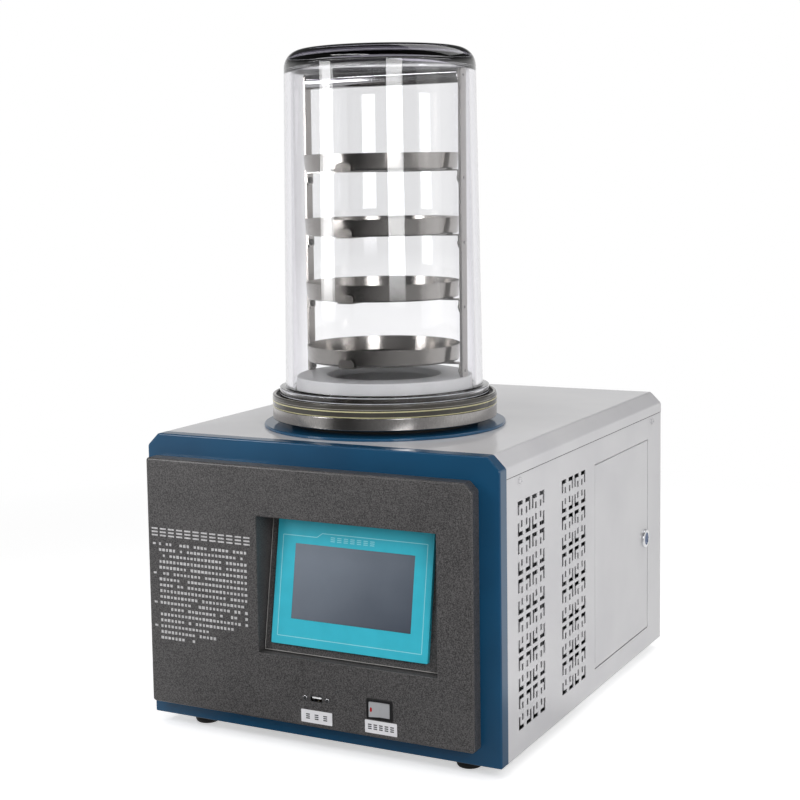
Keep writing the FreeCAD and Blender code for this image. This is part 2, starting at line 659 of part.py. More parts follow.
def build_control_panel():
    """Grey moulded pan, standing proud of the bezel, with the slanted screen recess."""
    body = new_body("control_panel")
    outline = sketch(body, "XZ_Plane", "pan_depth")
    polygon(outline, [
        ("pan_left + pan_corner", "pan_bottom"), ("pan_right - pan_corner", "pan_bottom"),
        ("pan_right", "pan_bottom + pan_corner"), ("pan_right", "pan_top - pan_cut_corner"),
        ("pan_right - pan_cut_corner", "pan_top"), ("pan_left + pan_corner", "pan_top"),
        ("pan_left", "pan_top - pan_corner"), ("pan_left", "pan_bottom + pan_corner"),
    ])
    solid = pad(body, outline, "pan_depth", reverse=True)
    front_y = -value("pan_depth")
    soften(body, solid, "pan_edge", lambda box: abs(box.YMax - front_y) < 1e-6)
    cavity = sketch(body, "XZ_Plane")
    inner, far = "pan_wall + pan_corner", "pan_wall + pan_cut_corner"
    polygon(cavity, [
        (f"pan_left + {inner}", "pan_bottom + pan_wall"),
        (f"pan_right - ({inner})", "pan_bottom + pan_wall"),
        ("pan_right - pan_wall", f"pan_bottom + {inner}"),
        ("pan_right - pan_wall", f"pan_top - ({far})"),
        (f"pan_right - ({far})", "pan_top - pan_wall"),
        (f"pan_left + {inner}", "pan_top - pan_wall"),
        ("pan_left + pan_wall", f"pan_top - ({inner})"),
        ("pan_left + pan_wall", f"pan_bottom + {inner}"),
    ])
    pocket(body, cavity, "pan_depth - pan_wall", reverse=True)
    window_middle = "(window_left + window_right) / 2"
    tub = sketch(body, "YZ_Plane", window_middle)
    low = on_slope("-pan_wall", "-pan_wall")
    high = on_slope("window_height / cos(recess_tilt * 1deg) + pan_wall", "-pan_wall")
    polygon(tub, [
        ("pan_wall / 2 - pan_depth", low[1]), low, high, ("pan_wall / 2 - pan_depth", high[1]),
    ])
    pad(body, tub, "window_width + 2 * pan_wall", middle=True)
    recess = sketch(body, "YZ_Plane", window_middle)
    floor_low = "recess_depth - pan_depth"
    floor_high = f"{floor_low} + window_height * tan(recess_tilt * 1deg)"
    polygon(recess, [
        ("-pan_depth - pan_wall", "window_bottom"), (floor_low, "window_bottom"),
        (floor_high, "window_top"), ("-pan_depth - pan_wall", "window_top"),
    ])
    hollow = pocket(body, recess, "window_width")
    hollow.Midplane = True
    slab(body, "screen_lift + module_rim", "screen_lift + screen_height - module_rim",
         "-3 * pan_wall", "pan_wall", "screen_width - 2 * module_rim", remove=True)
    holes = sketch(body, "XZ_Plane", "pan_depth")
    rectangle(holes, "usb_middle - usb_width / 2", "usb_height_middle - usb_height / 2",
              "usb_middle + usb_width / 2", "usb_height_middle + usb_height / 2")
    rectangle(holes, "switch_middle - switch_width / 2 + switch_rim / 2",
              "switch_height_middle - switch_height / 2 + switch_rim / 2",
              "switch_middle + switch_width / 2 - switch_rim / 2",
              "switch_height_middle + switch_height / 2 - switch_rim / 2")
    for reach in ("-usb_screw_reach", "usb_screw_reach"):
        circle(holes, f"usb_middle + {reach}", "usb_height_middle",
               "panel_screw / 2 + thread_gap")
    pocket(body, holes, "2 * pan_wall")
    return node(body, "control_panel")


def build_touch_screen():
    """Operator screen: front frame on the recess floor, housing behind, pane set flush."""
    body = new_body("touch_screen")
    slab(body, "screen_lift", "screen_lift + screen_height", "0", "screen_frame",
         "screen_width")
    slab(body, "screen_lift + module_rim + fit_gap",
         "screen_lift + screen_height - module_rim - fit_gap", "-module_depth", "0",
         "screen_width - 2 * module_rim - 2 * fit_gap")
    slab(body, "glass_lift + screen_lift", "glass_lift + screen_lift + glass_height",
         "screen_frame - glass_thick", "2 * screen_frame", "glass_width", True, "glass_shift")
    node(body, "touch_screen")
    pane = new_body("screen_glass")
    slab(pane, "glass_lift + screen_lift", "glass_lift + screen_lift + glass_height",
         "screen_frame - glass_thick", "screen_frame", "glass_width", False, "glass_shift")
    return node(pane, "screen_glass")


def build_usb_socket():
    """Socket shell with its tongue, held by two screws beside it."""
    body = new_body("usb_socket")
    outer = sketch(body, "XZ_Plane", "pan_depth")
    rectangle(outer, "usb_middle - usb_width / 2", "usb_height_middle - usb_height / 2",
              "usb_middle + usb_width / 2", "usb_height_middle + usb_height / 2")
    pad(body, outer, "usb_depth", reverse=True)
    mouth = sketch(body, "XZ_Plane", "pan_depth")
    rectangle(mouth, "usb_middle - usb_width / 2 + usb_wall",
              "usb_height_middle - usb_height / 2 + usb_wall",
              "usb_middle + usb_width / 2 - usb_wall",
              "usb_height_middle + usb_height / 2 - usb_wall")
    pocket(body, mouth, "usb_depth - usb_wall")
    tongue = sketch(body, "XZ_Plane", "pan_depth - usb_depth + usb_wall / 2")
    rectangle(tongue, "usb_middle - usb_width / 2 + 2 * usb_wall", "usb_height_middle",
              "usb_middle + usb_width / 2 - 2 * usb_wall", "usb_height_middle + 1.5 * usb_wall")
    pad(body, tongue, "usb_depth - 3 * usb_wall")
    node(body, "usb_socket")
    screws = []
    for reach in ("-usb_screw_reach", "usb_screw_reach"):
        x = f"usb_middle + {reach}"
        head = cone(x, "-pan_depth", "usb_height_middle", "panel_screw", "panel_screw / 2",
                    "panel_screw / 2", "-y")
        shank = rod(x, "-pan_depth", "usb_height_middle", "panel_screw / 2", "3 * pan_wall", "y")
        screws.append(joined([head, shank]))
    return node(group(screws), "panel_screws")


def build_switch():
    """Rocker switch: a moulded frame, and a two-faced rocker pinned in it on an upright axis."""
    frame = new_body("switch_frame")
    rim = sketch(frame, "XZ_Plane", "pan_depth")
    left, right = "switch_middle - switch_width / 2", "switch_middle + switch_width / 2"
    low = "switch_height_middle - switch_height / 2"
    high = "switch_height_middle + switch_height / 2"
    rectangle(rim, left, low, right, high)
    pad(frame, rim, "switch_rim / 2")
    case = sketch(frame, "XZ_Plane", "pan_depth")
    rectangle(case, f"{left} + switch_rim / 2", f"{low} + switch_rim / 2",
              f"{right} - switch_rim / 2", f"{high} - switch_rim / 2")
    pad(frame, case, "switch_depth", reverse=True)
    well = sketch(frame, "XZ_Plane", "pan_depth + switch_rim")
    rectangle(well, f"{left} + switch_rim", f"{low} + switch_rim",
              f"{right} - switch_rim", f"{high} - switch_rim")
    pocket(frame, well, "switch_depth")
    pins = sketch(frame, "XY_Plane", "switch_height_middle")
    circle(pins, "switch_middle", "-pan_depth + rocker_depth", "rocker_pin + running_gap")
    sockets = pocket(frame, pins, "switch_height - switch_rim")
    sockets.Midplane = True
    node(frame, "switch_frame")

    rocker = new_body("switch_rocker")
    section = sketch(rocker, "XY_Plane")
    polygon(section, [
        tilted("-rocker_reach", "-rocker_lip"), tilted("0", "-rocker_dip"),
        tilted("rocker_reach", "-rocker_lip"), tilted("rocker_reach", "0"),
        tilted("3 * rocker_pin", "3 * rocker_pin"), tilted("-3 * rocker_pin", "3 * rocker_pin"),
        tilted("-rocker_reach", "0"),
    ])
    pad(rocker, section, "2 * rocker_half_height", middle=True)
    pin = circle(sketch(rocker, "XY_Plane"), "0", "0", "rocker_pin")
    pad(rocker, pin, "switch_height - 1.5 * switch_rim", middle=True)
    return node(rocker, "switch_rocker", "switch_middle",
                "front - pan_depth + rocker_depth", "switch_height_middle")


def tilted(across, back):
    """Point of the rocker's section, turned about its pin so that the left side stands out."""
    angle = "rocker_tilt * 1deg"
    return (f"({across}) * cos({angle}) - ({back}) * sin({angle})",
            f"({across}) * sin({angle}) + ({back}) * cos({angle})")


# ---------------------------------------------------------------- chamber

def build_chamber():
    """Collar, steel flange, cold trap, insulation, seal and the clear bell over the rack."""
    turned_node("collar_disc", [
        ("hub_radius + fit_gap", "cabinet_top"), ("collar_radius", "cabinet_top"),
        ("collar_radius", "cabinet_top + collar_thick"),
        ("hub_radius + fit_gap", "cabinet_top + collar_thick"),
    ])
    bore = "pot_radius"
    turned_node("trap_flange", [
        (bore, "flange_top"), ("flange_radius", "flange_top"), ("flange_radius", "hub_top"),
        ("hub_radius", "hub_top"), ("hub_radius", "cabinet_top"),
        ("hub_radius - hub_wall", "cabinet_top"),
        ("hub_radius - hub_wall", "flange_top - flange_web"), (bore, "flange_top - flange_web"),
    ])
    build_trap()
    turned_node("gasket", [
        ("gasket_hole", "flange_top"), ("flange_radius", "flange_top"),
        ("flange_radius", "gasket_top + gasket_lip_height"),
        ("flange_radius - gasket_lip", "gasket_top + gasket_lip_height"),
        ("flange_radius - gasket_lip", "gasket_top"),
        ("gasket_hole + guard_wall", "gasket_top"),
        ("gasket_hole + guard_wall", "gasket_top + guard_height"),
        ("gasket_hole", "gasket_top + guard_height"),
    ])
    build_dome()
    turned_node("support_ring", [
        ("ring_hole", "ring_top"), ("ring_radius", "ring_top"), ("ring_radius", "flange_top"),
        ("ring_radius - ring_wall", "flange_top"),
        ("ring_radius - ring_wall", "ring_top - ring_plate"),
        ("ring_hole", "ring_top - ring_plate"),
    ])


def build_trap():
    """Steel pot under the flange, its foam jacket and the vacuum line to the rear port."""
    pot = new_body("cold_trap")
    outer = "pot_radius + pot_wall"
    turn(pot, [
        ("pot_radius", "flange_top - flange_web"), (outer, "flange_top - flange_web"),
        (outer, "pot_floor - pot_wall"), ("drain_bore", "pot_floor - pot_wall"),
        ("drain_bore", "pot_floor"), ("pot_radius", "pot_floor"),
    ])
    port = sketch(pot, "XZ_Plane")
    circle(port, "0", "port_height", "port_radius - port_wall")
    pocket(pot, port, "2 * pot_radius")
    node(pot, "cold_trap", "0", "chamber")
    foam = new_body("trap_insulation")
    inside, drain = f"{outer} + fit_gap", "drain_radius + fit_gap"
    turn(foam, [
        (inside, "insulation_top"), ("insulation_radius", "insulation_top"),
        ("insulation_radius", "pot_floor - pot_wall - insulation_base"),
        (drain, "pot_floor - pot_wall - insulation_base"),
        (drain, "pot_floor - pot_wall"), (inside, "pot_floor - pot_wall"),
    ])
    lines = sketch(foam, "XZ_Plane")
    circle(lines, "0", "port_height", "port_radius + fit_gap")
    circle(lines, "-suction_left", "suction_height", "copper_radius + fit_gap")
    pocket(foam, lines, "2 * pot_radius")
    node(foam, "trap_insulation", "0", "chamber")
    start = f"chamber_back + {outer}"
    line = rod("0", start, "port_height", "port_radius", f"rear_face + rear_reach - ({start})", "y")
    rim = "rear_face + rear_reach - kf_thick"
    flange = rod("0", rim, "port_height", "kf_radius", "kf_thick", "y")
    bevel = cone("0", f"{rim} - kf_thick / 2", "port_height", "kf_radius - 2 * kf_thick",
                 "kf_radius", "kf_thick / 2", "y")
    bore = rod("0", f"{start} - overcut", "port_height", "port_radius - port_wall",
               "rear_face + rear_reach", "y")
    seat = rod("0", rim, "port_height", "kf_seat", "2 * kf_thick", "y")
    return node(cut(joined([line, flange, bevel]), joined([bore, seat])), "vacuum_port")


def build_dome():
    """Clear bell: thick wall with a little draft, flat crown, round shoulder, seat flange."""
    body = new_body("dome")
    solid = turn(body, [
        ("dome_bore", "gasket_top"), ("dome_flange", "gasket_top"),
        ("dome_flange", "gasket_top + dome_flange_thick"),
        ("dome_radius", "gasket_top + dome_flange_thick"), ("dome_top_radius", "dome_top"),
        ("0", "dome_top"), ("0", "dome_top - dome_crown"),
        ("dome_top_radius - dome_wall", "dome_top - dome_crown"),
    ])
    crown, inside = value("dome_top"), value("dome_top - dome_crown")
    soften(body, solid, "crown_radius", lambda box: box.ZMin > crown - 1e-6 and box.XLength > 1)
    outer = body.Tip
    soften(body, outer, "crown_radius / 2",
           lambda box: abs(box.ZMin - inside) < 1e-6 and box.ZLength < 1e-6 and box.XLength > 1)
    return node(body, "dome", "0", "chamber")


# ---------------------------------------------------------------- rack

def build_posts():
    """Two flat uprights of the drying rack, drilled for the shelf and handle screws."""
    for label, side in (("rack_left_post", "-post_middle"), ("rack_right_post", "post_middle")):
        body = new_body(label)
        outline = sketch(body, "YZ_Plane", side)
        crop = "corner_crop"
        polygon(outline, [
            ("-post_width / 2", "ring_top"), ("post_width / 2", "ring_top"),
            ("post_width / 2", f"post_top - {crop}"), (f"post_width / 2 - {crop}", "post_top"),
            (f"{crop} - post_width / 2", "post_top"), ("-post_width / 2", f"post_top - {crop}"),
        ])
        pad(body, outline, "post_thick", middle=True)
        holes = sketch(body, "YZ_Plane")
        for level in range(int(value("shelf_count"))):
            height = f"ring_top + shelf_lift + {level} * shelf_pitch - shelf_screw_drop"
            circle(holes, "0", height, "m4_shank + thread_gap")
        circle(holes, "0", "handle_height", "m4_shank + thread_gap")
        pocket(body, holes)
        node(body, label, "0", "chamber")


def build_handle():
    """Round polished bar between the uprights, tapped at both ends."""
    bar = rod("-post_face", "0", "handle_height", "handle_radius", "2 * post_face", "x")
    tapped = [
        rod("-post_face", "0", "handle_height", "m4_shank + thread_gap", "5 * post_thick", "x"),
        rod("post_face", "0", "handle_height", "m4_shank + thread_gap", "5 * post_thick", "-x"),
    ]
    return node(cut(bar, joined(tapped)), "rack_handle", "0", "chamber")


def build_shelf(level):
    """Cross of two straps: ends folded down to the uprights, tabs folded up round the tray."""
    body = new_body(f"shelf_{level + 1}")
    reach = "tray_radius + fit_gap + strap"
    cross = sketch(body, "XY_Plane")
    half, wide = "post_width / 2", "strap_width / 2"
    polygon(cross, [
        (f"-({wide})", f"-({reach})"), (wide, f"-({reach})"), (wide, f"-({half})"),
        ("post_face", f"-({half})"), ("post_face", half), (wide, half), (wide, reach),
        (f"-({wide})", reach), (f"-({wide})", half), ("-post_face", half),
        ("-post_face", f"-({half})"), (f"-({wide})", f"-({half})"),
    ])
    pad(body, cross, "strap")
    for side in ("-", ""):
        fold = sketch(body, "YZ_Plane", f"{side}(post_face - strap / 2)")
        polygon(fold, [
            (f"-({half})", "strap"), (f"-({half})", "corner_crop - strap_fold"),
            (f"corner_crop - {half}", "-strap_fold"), (f"{half} - corner_crop", "-strap_fold"),
            (half, "corner_crop - strap_fold"), (half, "strap"),
        ])
        pad(body, fold, "strap", middle=True)
        tab = sketch(body, "XZ_Plane", f"{side}({reach} - strap / 2)")
        polygon(tab, [
            (f"-({wide})", "0"), (wide, "0"), (wide, "strap + tab_height - corner_crop"),
            (f"{wide} - corner_crop", "strap + tab_height"),
            (f"corner_crop - {wide}", "strap + tab_height"),
            (f"-({wide})", "strap + tab_height - corner_crop"),
        ])
        pad(body, tab, "strap", middle=True)
    holes = sketch(body, "YZ_Plane")
    circle(holes, "0", "strap - shelf_screw_drop", "m4_shank + thread_gap")
    pocket(body, holes)
    return node(body, body.Name, "0", "chamber",
                f"ring_top + shelf_lift + {level} * shelf_pitch - strap")


def build_tray(level):
    """Shallow pressed tray: flared wall, rounded foot inside and out, resting on its shelf."""
    body = new_body(f"tray_{level + 1}")
    foot = "tray_radius - tray_taper"
    dish = turn(body, [
        ("0", "0"), (foot, "0"), ("tray_radius", "tray_height"),
        ("tray_radius - tray_wall", "tray_height"), (f"{foot} - tray_wall", "tray_wall"),
        ("0", "tray_wall"),
    ])
    soften(body, dish, "tray_corner", lambda box: box.ZMax < 1e-6 and box.XLength > 1)
    floor = value("tray_wall")
    soften(body, body.Tip, "tray_corner - tray_wall",
           lambda box: abs(box.ZMin - floor) < 1e-6 and box.ZLength < 1e-6 and box.XLength > 1)
    return node(body, body.Name, "0", "chamber",
                f"ring_top + shelf_lift + {level} * shelf_pitch")


def build_rack_screws():
    """Pan-head screws of the four shelves, and the two that hold the handle bar."""
    pieces = []
    inside = "post_face - strap"
    for level in range(int(value("shelf_count"))):
        height = f"ring_top + shelf_lift + {level} * shelf_pitch - shelf_screw_drop"
        length = "strap + post_thick"
        pieces.append(screw(inside, "0", height, "-x", length))
        pieces.append(screw(f"-({inside})", "0", height, "x", length))
    for direction, side in (("-x", ""), ("x", "-")):
        pieces.append(rod(f"{side}post_reach", "0", "handle_height", "m4_shank",
                          "4 * post_thick", direction))
    return node(group(pieces), "rack_screws", "0", "chamber")


# ---------------------------------------------------------------- door

def build_door():
    """Pressed side door with folded edges, its hinge pins, the lock barrel and the cam."""
    body = new_body("side_door")
    skin = sketch(body, "YZ_Plane", "side_face")
    rectangle(skin, "door_front + door_gap", "door_bottom + door_gap",
              "door_back - door_gap", "door_top - door_gap")
    pad(body, skin, "door_fold", reverse=True)
    inside = sketch(body, "YZ_Plane", "side_face - door_fold")
    wall = "door_gap + sheet"
    rectangle(inside, f"door_front + {wall}", f"door_bottom + {wall}",
              f"door_back - ({wall})", f"door_top - ({wall})")
    pocket(body, inside, "door_fold - sheet", reverse=True)
    hole = sketch(body, "YZ_Plane", "side_face")
    circle(hole, "lock_back", "lock_height", "lock_barrel + running_gap")
    pocket(body, hole, "3 * sheet")
    pins = sketch(body, "XY_Plane", "(door_bottom + door_top) / 2")
    circle(pins, "hinge_side", "hinge_back", "pin_radius")
    bores = pocket(body, pins, "door_height + 4 * sheet")
    bores.Midplane = True
    node(body, "side_door")
    low = "door_bottom - sheet"
    high = "door_top + sheet - pin_length"
    node(group([
        rod("hinge_side", "hinge_back", low, "pin_radius", "pin_length"),
        rod("hinge_side", "hinge_back", high, "pin_radius", "pin_length"),
    ]), "door_pins")


def build_lock():
    """Quarter-turn lock: chromed head, barrel through the door skin and a cam behind it."""
    head = rod("side_face", "lock_back", "lock_height", "lock_head", "lock_rise - lock_bevel",
               "x")
    shoulder = cone("lock_face", "lock_back", "lock_height", "lock_head",
                    "lock_head - lock_bevel", "lock_bevel", "x")
    face = rod("side_face", "lock_back", "lock_height", "lock_barrel + fit_gap",
               "2 * lock_rise", "x")
    barrel = rod("side_face", "lock_back", "lock_height", "lock_barrel", "lock_length", "-x")
    key = block("side_face + lock_plug - key_depth", "lock_back - key_width / 2",
                "lock_height - lock_barrel / 2", "2 * key_depth", "key_width", "lock_barrel")
    ring = joined([cut(joined([head, shoulder]), face), barrel])
    plug = cut(rod("side_face", "lock_back", "lock_height", "lock_barrel + fit_gap",
                   "lock_plug", "x"), key)
    node(joined([ring, plug]), "door_lock")
    body = new_body("lock_cam")
    outline = sketch(body, "YZ_Plane", "side_face - lock_length")
    polygon(outline, [
        ("lock_back - cam_width / 2", "lock_height - cam_width"),
        ("lock_back + cam_width / 2", "lock_height - cam_width"),
        ("lock_back + cam_width / 2", "lock_height + cam_length - cam_width / 3"),
        ("lock_back + cam_width / 6", "lock_height + cam_length"),
        ("lock_back - cam_width / 6", "lock_height + cam_length"),
        ("lock_back - cam_width / 2", "lock_height + cam_length - cam_width / 3"),
    ])
    pad(body, outline, "cam_thick", reverse=True)
    return node(body, "lock_cam")


# ---------------------------------------------------------------- refrigeration

def build_compressor():
    """Hermetic compressor: drawn shell with a weld belt on a foot plate and rubber mounts."""
    shell = new_body("compressor")
    wide, belt = "compressor_radius", "compressor_radius + belt_proud"
    pot = turn(shell, [
        ("0", "foot_plate"), (wide, "foot_plate"), (wide, "belt_height"),
        (belt, "belt_height"), (belt, "belt_height + belt_thick"),
        (wide, "belt_height + belt_thick"), (wide, "compressor_height"),
        ("0", "compressor_height"),
    ])
    top, bottom = value("compressor_height"), value("foot_plate")
    soften(shell, pot, "compressor_crown",
           lambda box: abs(box.ZMin - top) < 1e-6 and box.XLength > 1)
    soften(shell, shell.Tip, "compressor_heel",
           lambda box: abs(box.ZMax - bottom) < 1e-6 and box.XLength > 1)
    plate = sketch(shell, "XY_Plane")
    edge = "mount_plate / 2"
    rectangle(plate, f"-({edge})", f"-({edge})", edge, edge)
    pad(shell, plate, "foot_plate")
    node(shell, "compressor", "compressor_side", "front + compressor_back", "compressor_bottom")
    mounts = []
    for across in ("-mount_pitch / 2", "mount_pitch / 2"):
        for back in ("-mount_pitch / 2", "mount_pitch / 2"):
            mounts.append(rod(across, back, "0", "mount_radius", "mount_height"))
    node(group(mounts), "compressor_mounts", "compressor_side", "front + compressor_back",
         "tray_floor")


def build_condenser():
    """Finned block: fins between two end plates on a web of tube rows, bends at the front."""
    body = new_body("condenser")
    block_outline = sketch(body, "XY_Plane", "condenser_bottom")
    rectangle(block_outline, "condenser_inner", "condenser_front", "condenser_outer",
              "condenser_front + condenser_width")
    pad(body, block_outline, "condenser_height")
    for face, reverse in (("condenser_outer", False), ("condenser_inner", True)):
        groove = sketch(body, "YZ_Plane", face)
        rectangle(groove, "condenser_front + fin_pitch",
                  "condenser_bottom + fin_pitch",
                  "condenser_front + fin_pitch + fin_groove",
                  "condenser_bottom + condenser_height - fin_pitch")
        grooves = pocket(body, groove, "fin_depth", reverse)
        count = "floor((condenser_width - 2 * fin_pitch) / fin_pitch)"
        pattern(body, groove, grooves, [("H_Axis", f"({count} - 1) * fin_pitch", count)])
    feet = sketch(body, "XY_Plane", "tray_floor")
    rectangle(feet, "condenser_inner", "condenser_front", "condenser_outer",
              "condenser_front + fin_pitch")
    rectangle(feet, "condenser_inner", "condenser_front + condenser_width - fin_pitch",
              "condenser_outer", "condenser_front + condenser_width")
    pad(body, feet, "condenser_bottom - tray_floor + overcut")
    return node(body, "condenser")


def build_fan():
    """Condenser fan: sheet shroud with its ring, motor on crossed arms, five-blade rotor."""
    ring_outer = "fan_radius + fan_tip_gap + sheet"
    plate = block("shroud_face", "condenser_front", "condenser_bottom", "sheet",
                  "condenser_width", "condenser_height")
    ring = rod("shroud_face", "fan_back", "fan_height", ring_outer, "fan_ring", "-x")
    bore = rod("condenser_inner + overcut", "fan_back", "fan_height", "fan_radius + fan_tip_gap",
               "fan_ring + 4 * sheet", "-x")
    arm_x = "shroud_face - fan_ring"
    arm = block(arm_x, "fan_back - fan_arm / 2", f"fan_height - ({ring_outer})", "sheet",
                "fan_arm", f"2 * ({ring_outer})")
    cross = block(arm_x, f"fan_back - ({ring_outer})", "fan_height - fan_arm / 2", "sheet",
                  f"2 * ({ring_outer})", "fan_arm")
    shaft_hole = rod(f"{arm_x} - overcut", "fan_back", "fan_height", "fan_shaft + running_gap",
                     "3 * sheet", "x")
    node(cut(joined([cut(joined([plate, ring]), bore), arm, cross]), shaft_hole), "fan_shroud")
    motor = rod(arm_x, "fan_back", "fan_height", "motor_radius", "motor_length", "-x")
    well = rod(f"{arm_x} + overcut", "fan_back", "fan_height", "fan_shaft + running_gap",
               "motor_length / 2", "-x")
    node(cut(motor, well), "fan_motor")
    hub = rod("fan_plane + hub_depth / 2", "0", "0", "fan_hub", "hub_depth", "-x")
    shaft = rod("fan_plane", "0", "0", "fan_shaft", "fan_ring / 2 + motor_length / 3", "-x")
    blades = []
    for index in range(int(value("fan_blades"))):
        blade = doc.addObject("Part::Box", "Blade")
        bind(blade, "Length", "sheet")
        bind(blade, "Width", "blade_width")
        bind(blade, "Height", "sqrt(fan_radius ^ 2 - (blade_width / 2) ^ 2) - blade_root")
        pitch = Rotation(Vector(0, 0, 1), value("blade_pitch"))
        spin = Rotation(Vector(1, 0, 0), 360 * index / value("fan_blades"))
        middle = Vector(-value("sheet / 2"), -value("blade_width / 2"), value("blade_root"))
        local = Placement(Vector(), spin).multiply(Placement(Vector(), pitch))
        blade.Placement = Placement(Vector(value("fan_plane"), 0, 0), Rotation()).multiply(
            local.multiply(Placement(middle, Rotation())))
        blades.append(blade)
    return node(joined([hub, shaft] + blades), "fan_rotor", "0", "front + fan_back",
                "fan_height")


def pipe(label, points, radius, bend):
    """Bent copper pipe: straight runs joined by tangent arcs of one bend radius."""
    corners = [Vector(*(value(text) for text in point)) for point in points]
    size, trim = value(radius), value(bend)
    edges, start = [], corners[0]
    for before, corner, after in zip(corners, corners[1:], corners[2:]):
        back = (before - corner).normalize()
        onward = (after - corner).normalize()
        entry, leave = corner + back * trim, corner + onward * trim
        centre = corner + (back + onward) * trim
        middle = centre - (back + onward).normalize() * trim
        edges.append(Part.makeLine(start, entry))
        edges.append(Part.Arc(entry, middle, leave).toShape())
        start = leave
    edges.append(Part.makeLine(start, corners[-1]))
    route = Part.Wire(edges)
    first = (corners[1] - corners[0]).normalize()
    section = Part.Wire([Part.makeCircle(size, corners[0], first)])
    item = doc.addObject("Part::Feature", label)
    item.Shape = route.makePipeShell([section], True, True)
    return node(item, label)


def build_pipework():
    """Suction, discharge and liquid lines between compressor, condenser, drier and trap."""
    nearest = "(pot_radius + pot_wall) ^ 2 - (suction_left - copper_radius) ^ 2"
    pipe("suction_pipe", [
        ("-suction_left", f"chamber_back + sqrt({nearest}) + fit_gap", "suction_height"),
        ("-suction_left", "compressor_back", "suction_height"),
        ("-suction_left", "compressor_back", "suction_port"),
        ("compressor_side + compressor_radius", "compressor_back", "suction_port"),
    ], "copper_radius", "suction_bend")
    pipe("discharge_pipe", [
        ("compressor_side + compressor_radius", "compressor_back", "discharge_height"),
        ("discharge_right", "compressor_back", "discharge_height"),
        ("discharge_right", "discharge_back", "discharge_height"),
        ("condenser_outer - condenser_thick / 2", "discharge_back", "discharge_height"),
        ("condenser_outer - condenser_thick / 2", "condenser_front + condenser_width",
         "discharge_height"),
    ], "copper_radius", "discharge_bend")
    shoulder = "drier_stub + drier_cone"
    start = "shroud_face"
    drier = new_body("filter_drier")
    turn(drier, [
        ("0", "0"), ("drier_neck", "0"), ("drier_neck", "drier_stub"),
        ("drier_radius", shoulder), ("drier_radius", f"drier_length - ({shoulder})"),
        ("drier_neck", "drier_length - drier_stub"), ("drier_neck", "drier_length"),
        ("0", "drier_length"),
    ])
    drier.Placement = Placement(Vector(), DIRECTIONS["-x"])
    node(drier, "filter_drier", start, "front + drier_back", "drier_height")
    end = f"{start} - drier_length"
    return pipe("liquid_line", [
        (end, "drier_back", "drier_height"),
        (f"{end} - liquid_reach", "drier_back", "drier_height"),
        (f"{end} - liquid_reach", "drier_back", "pot_floor - pot_wall - insulation_base"),
    ], "capillary_radius", "capillary_bend")


# ---------------------------------------------------------------- electrical compartment

def build_electrics():
    """Folded mounting plate behind the door, with supply, contactor and terminal row."""
    body = new_body("electrical_plate")
    fold = sketch(body, "XZ_Plane", "-rack_plate_front")
    face = "rack_plate_side"
    polygon(fold, [
        (face, "tray_floor"), (f"{face} + 3 * fold", "tray_floor"),
        (f"{face} + 3 * fold", "tray_floor + sheet"), (f"{face} + sheet", "tray_floor + sheet"),
        (f"{face} + sheet", "tray_floor + rack_plate_height"),
        (face, "tray_floor + rack_plate_height"),
    ])
    pad(body, fold, "rack_plate_length", reverse=True)
    node(body, "electrical_plate")
    surface = f"{face} + sheet"
    front = "rack_plate_front"
    supply = new_body("power_supply")
    case = sketch(supply, "YZ_Plane", surface)
    bottom = "tray_floor + electrics_lift"
    low_y = f"{front} + electrics_inset"
    rectangle(case, low_y, bottom, f"{low_y} + supply_length", f"{bottom} + supply_height")
    pad(supply, case, "supply_depth")
    slots = sketch(supply, "YZ_Plane", f"{surface} + supply_depth")
    rectangle(slots, f"{low_y} + supply_margin", f"{bottom} + 2 * supply_margin",
              f"{low_y} + supply_margin + slot", f"{bottom} + supply_height - 2 * supply_margin")
    vents = pocket(supply, slots, "slot")
    pattern(supply, slots, vents, [
        ("H_Axis", "supply_length - 2 * supply_margin - slot", "supply_slots"),
    ])
    node(supply, "power_supply")
    relay = new_body("contactor")
    left = f"{low_y} + supply_length + 2 * electrics_inset"
    profile = sketch(relay, "YZ_Plane", surface)
    rectangle(profile, left, bottom, f"{left} + contactor_length", f"{bottom} + contactor_height")
    pad(relay, profile, "contactor_depth - contactor_step")
    step = sketch(relay, "YZ_Plane", f"{surface} + contactor_depth - contactor_step")
    rectangle(step, left, f"{bottom} + contactor_margin",
              f"{left} + contactor_length", f"{bottom} + contactor_height - contactor_margin")
    pad(relay, step, "contactor_step")
    node(relay, "contactor")
    strip = new_body("terminal_block")
    shelf = "tray_floor + rack_plate_height - terminal_height - terminal_drop"
    profile = sketch(strip, "XZ_Plane", f"-({front} + terminal_inset)")
    polygon(profile, [
        (surface, shelf), (f"{surface} + terminal_depth - terminal_bevel", shelf),
        (f"{surface} + terminal_depth", f"{shelf} + terminal_bevel"),
        (f"{surface} + terminal_depth", f"{shelf} + terminal_height - terminal_bevel"),
        (f"{surface} + terminal_depth - terminal_bevel", f"{shelf} + terminal_height"),
        (surface, f"{shelf} + terminal_height"),
    ])
    pad(strip, profile, "terminal_length", reverse=True)
    pitch = "terminal_length / terminal_count"
    gap = sketch(strip, "XZ_Plane",
                 f"-({front} + terminal_inset + terminal_length - {pitch})")
    rectangle(gap, f"{surface} + terminal_depth / 2", f"{shelf} - overcut",
              f"{surface} + terminal_depth + overcut", f"{shelf} + terminal_height + overcut")
    grooves = pocket(strip, gap, "terminal_groove")
    pattern(strip, gap, grooves, [
        ("N_Axis", f"(terminal_count - 2) * {pitch}", "terminal_count - 1"),
    ])
    node(strip, "terminal_block")


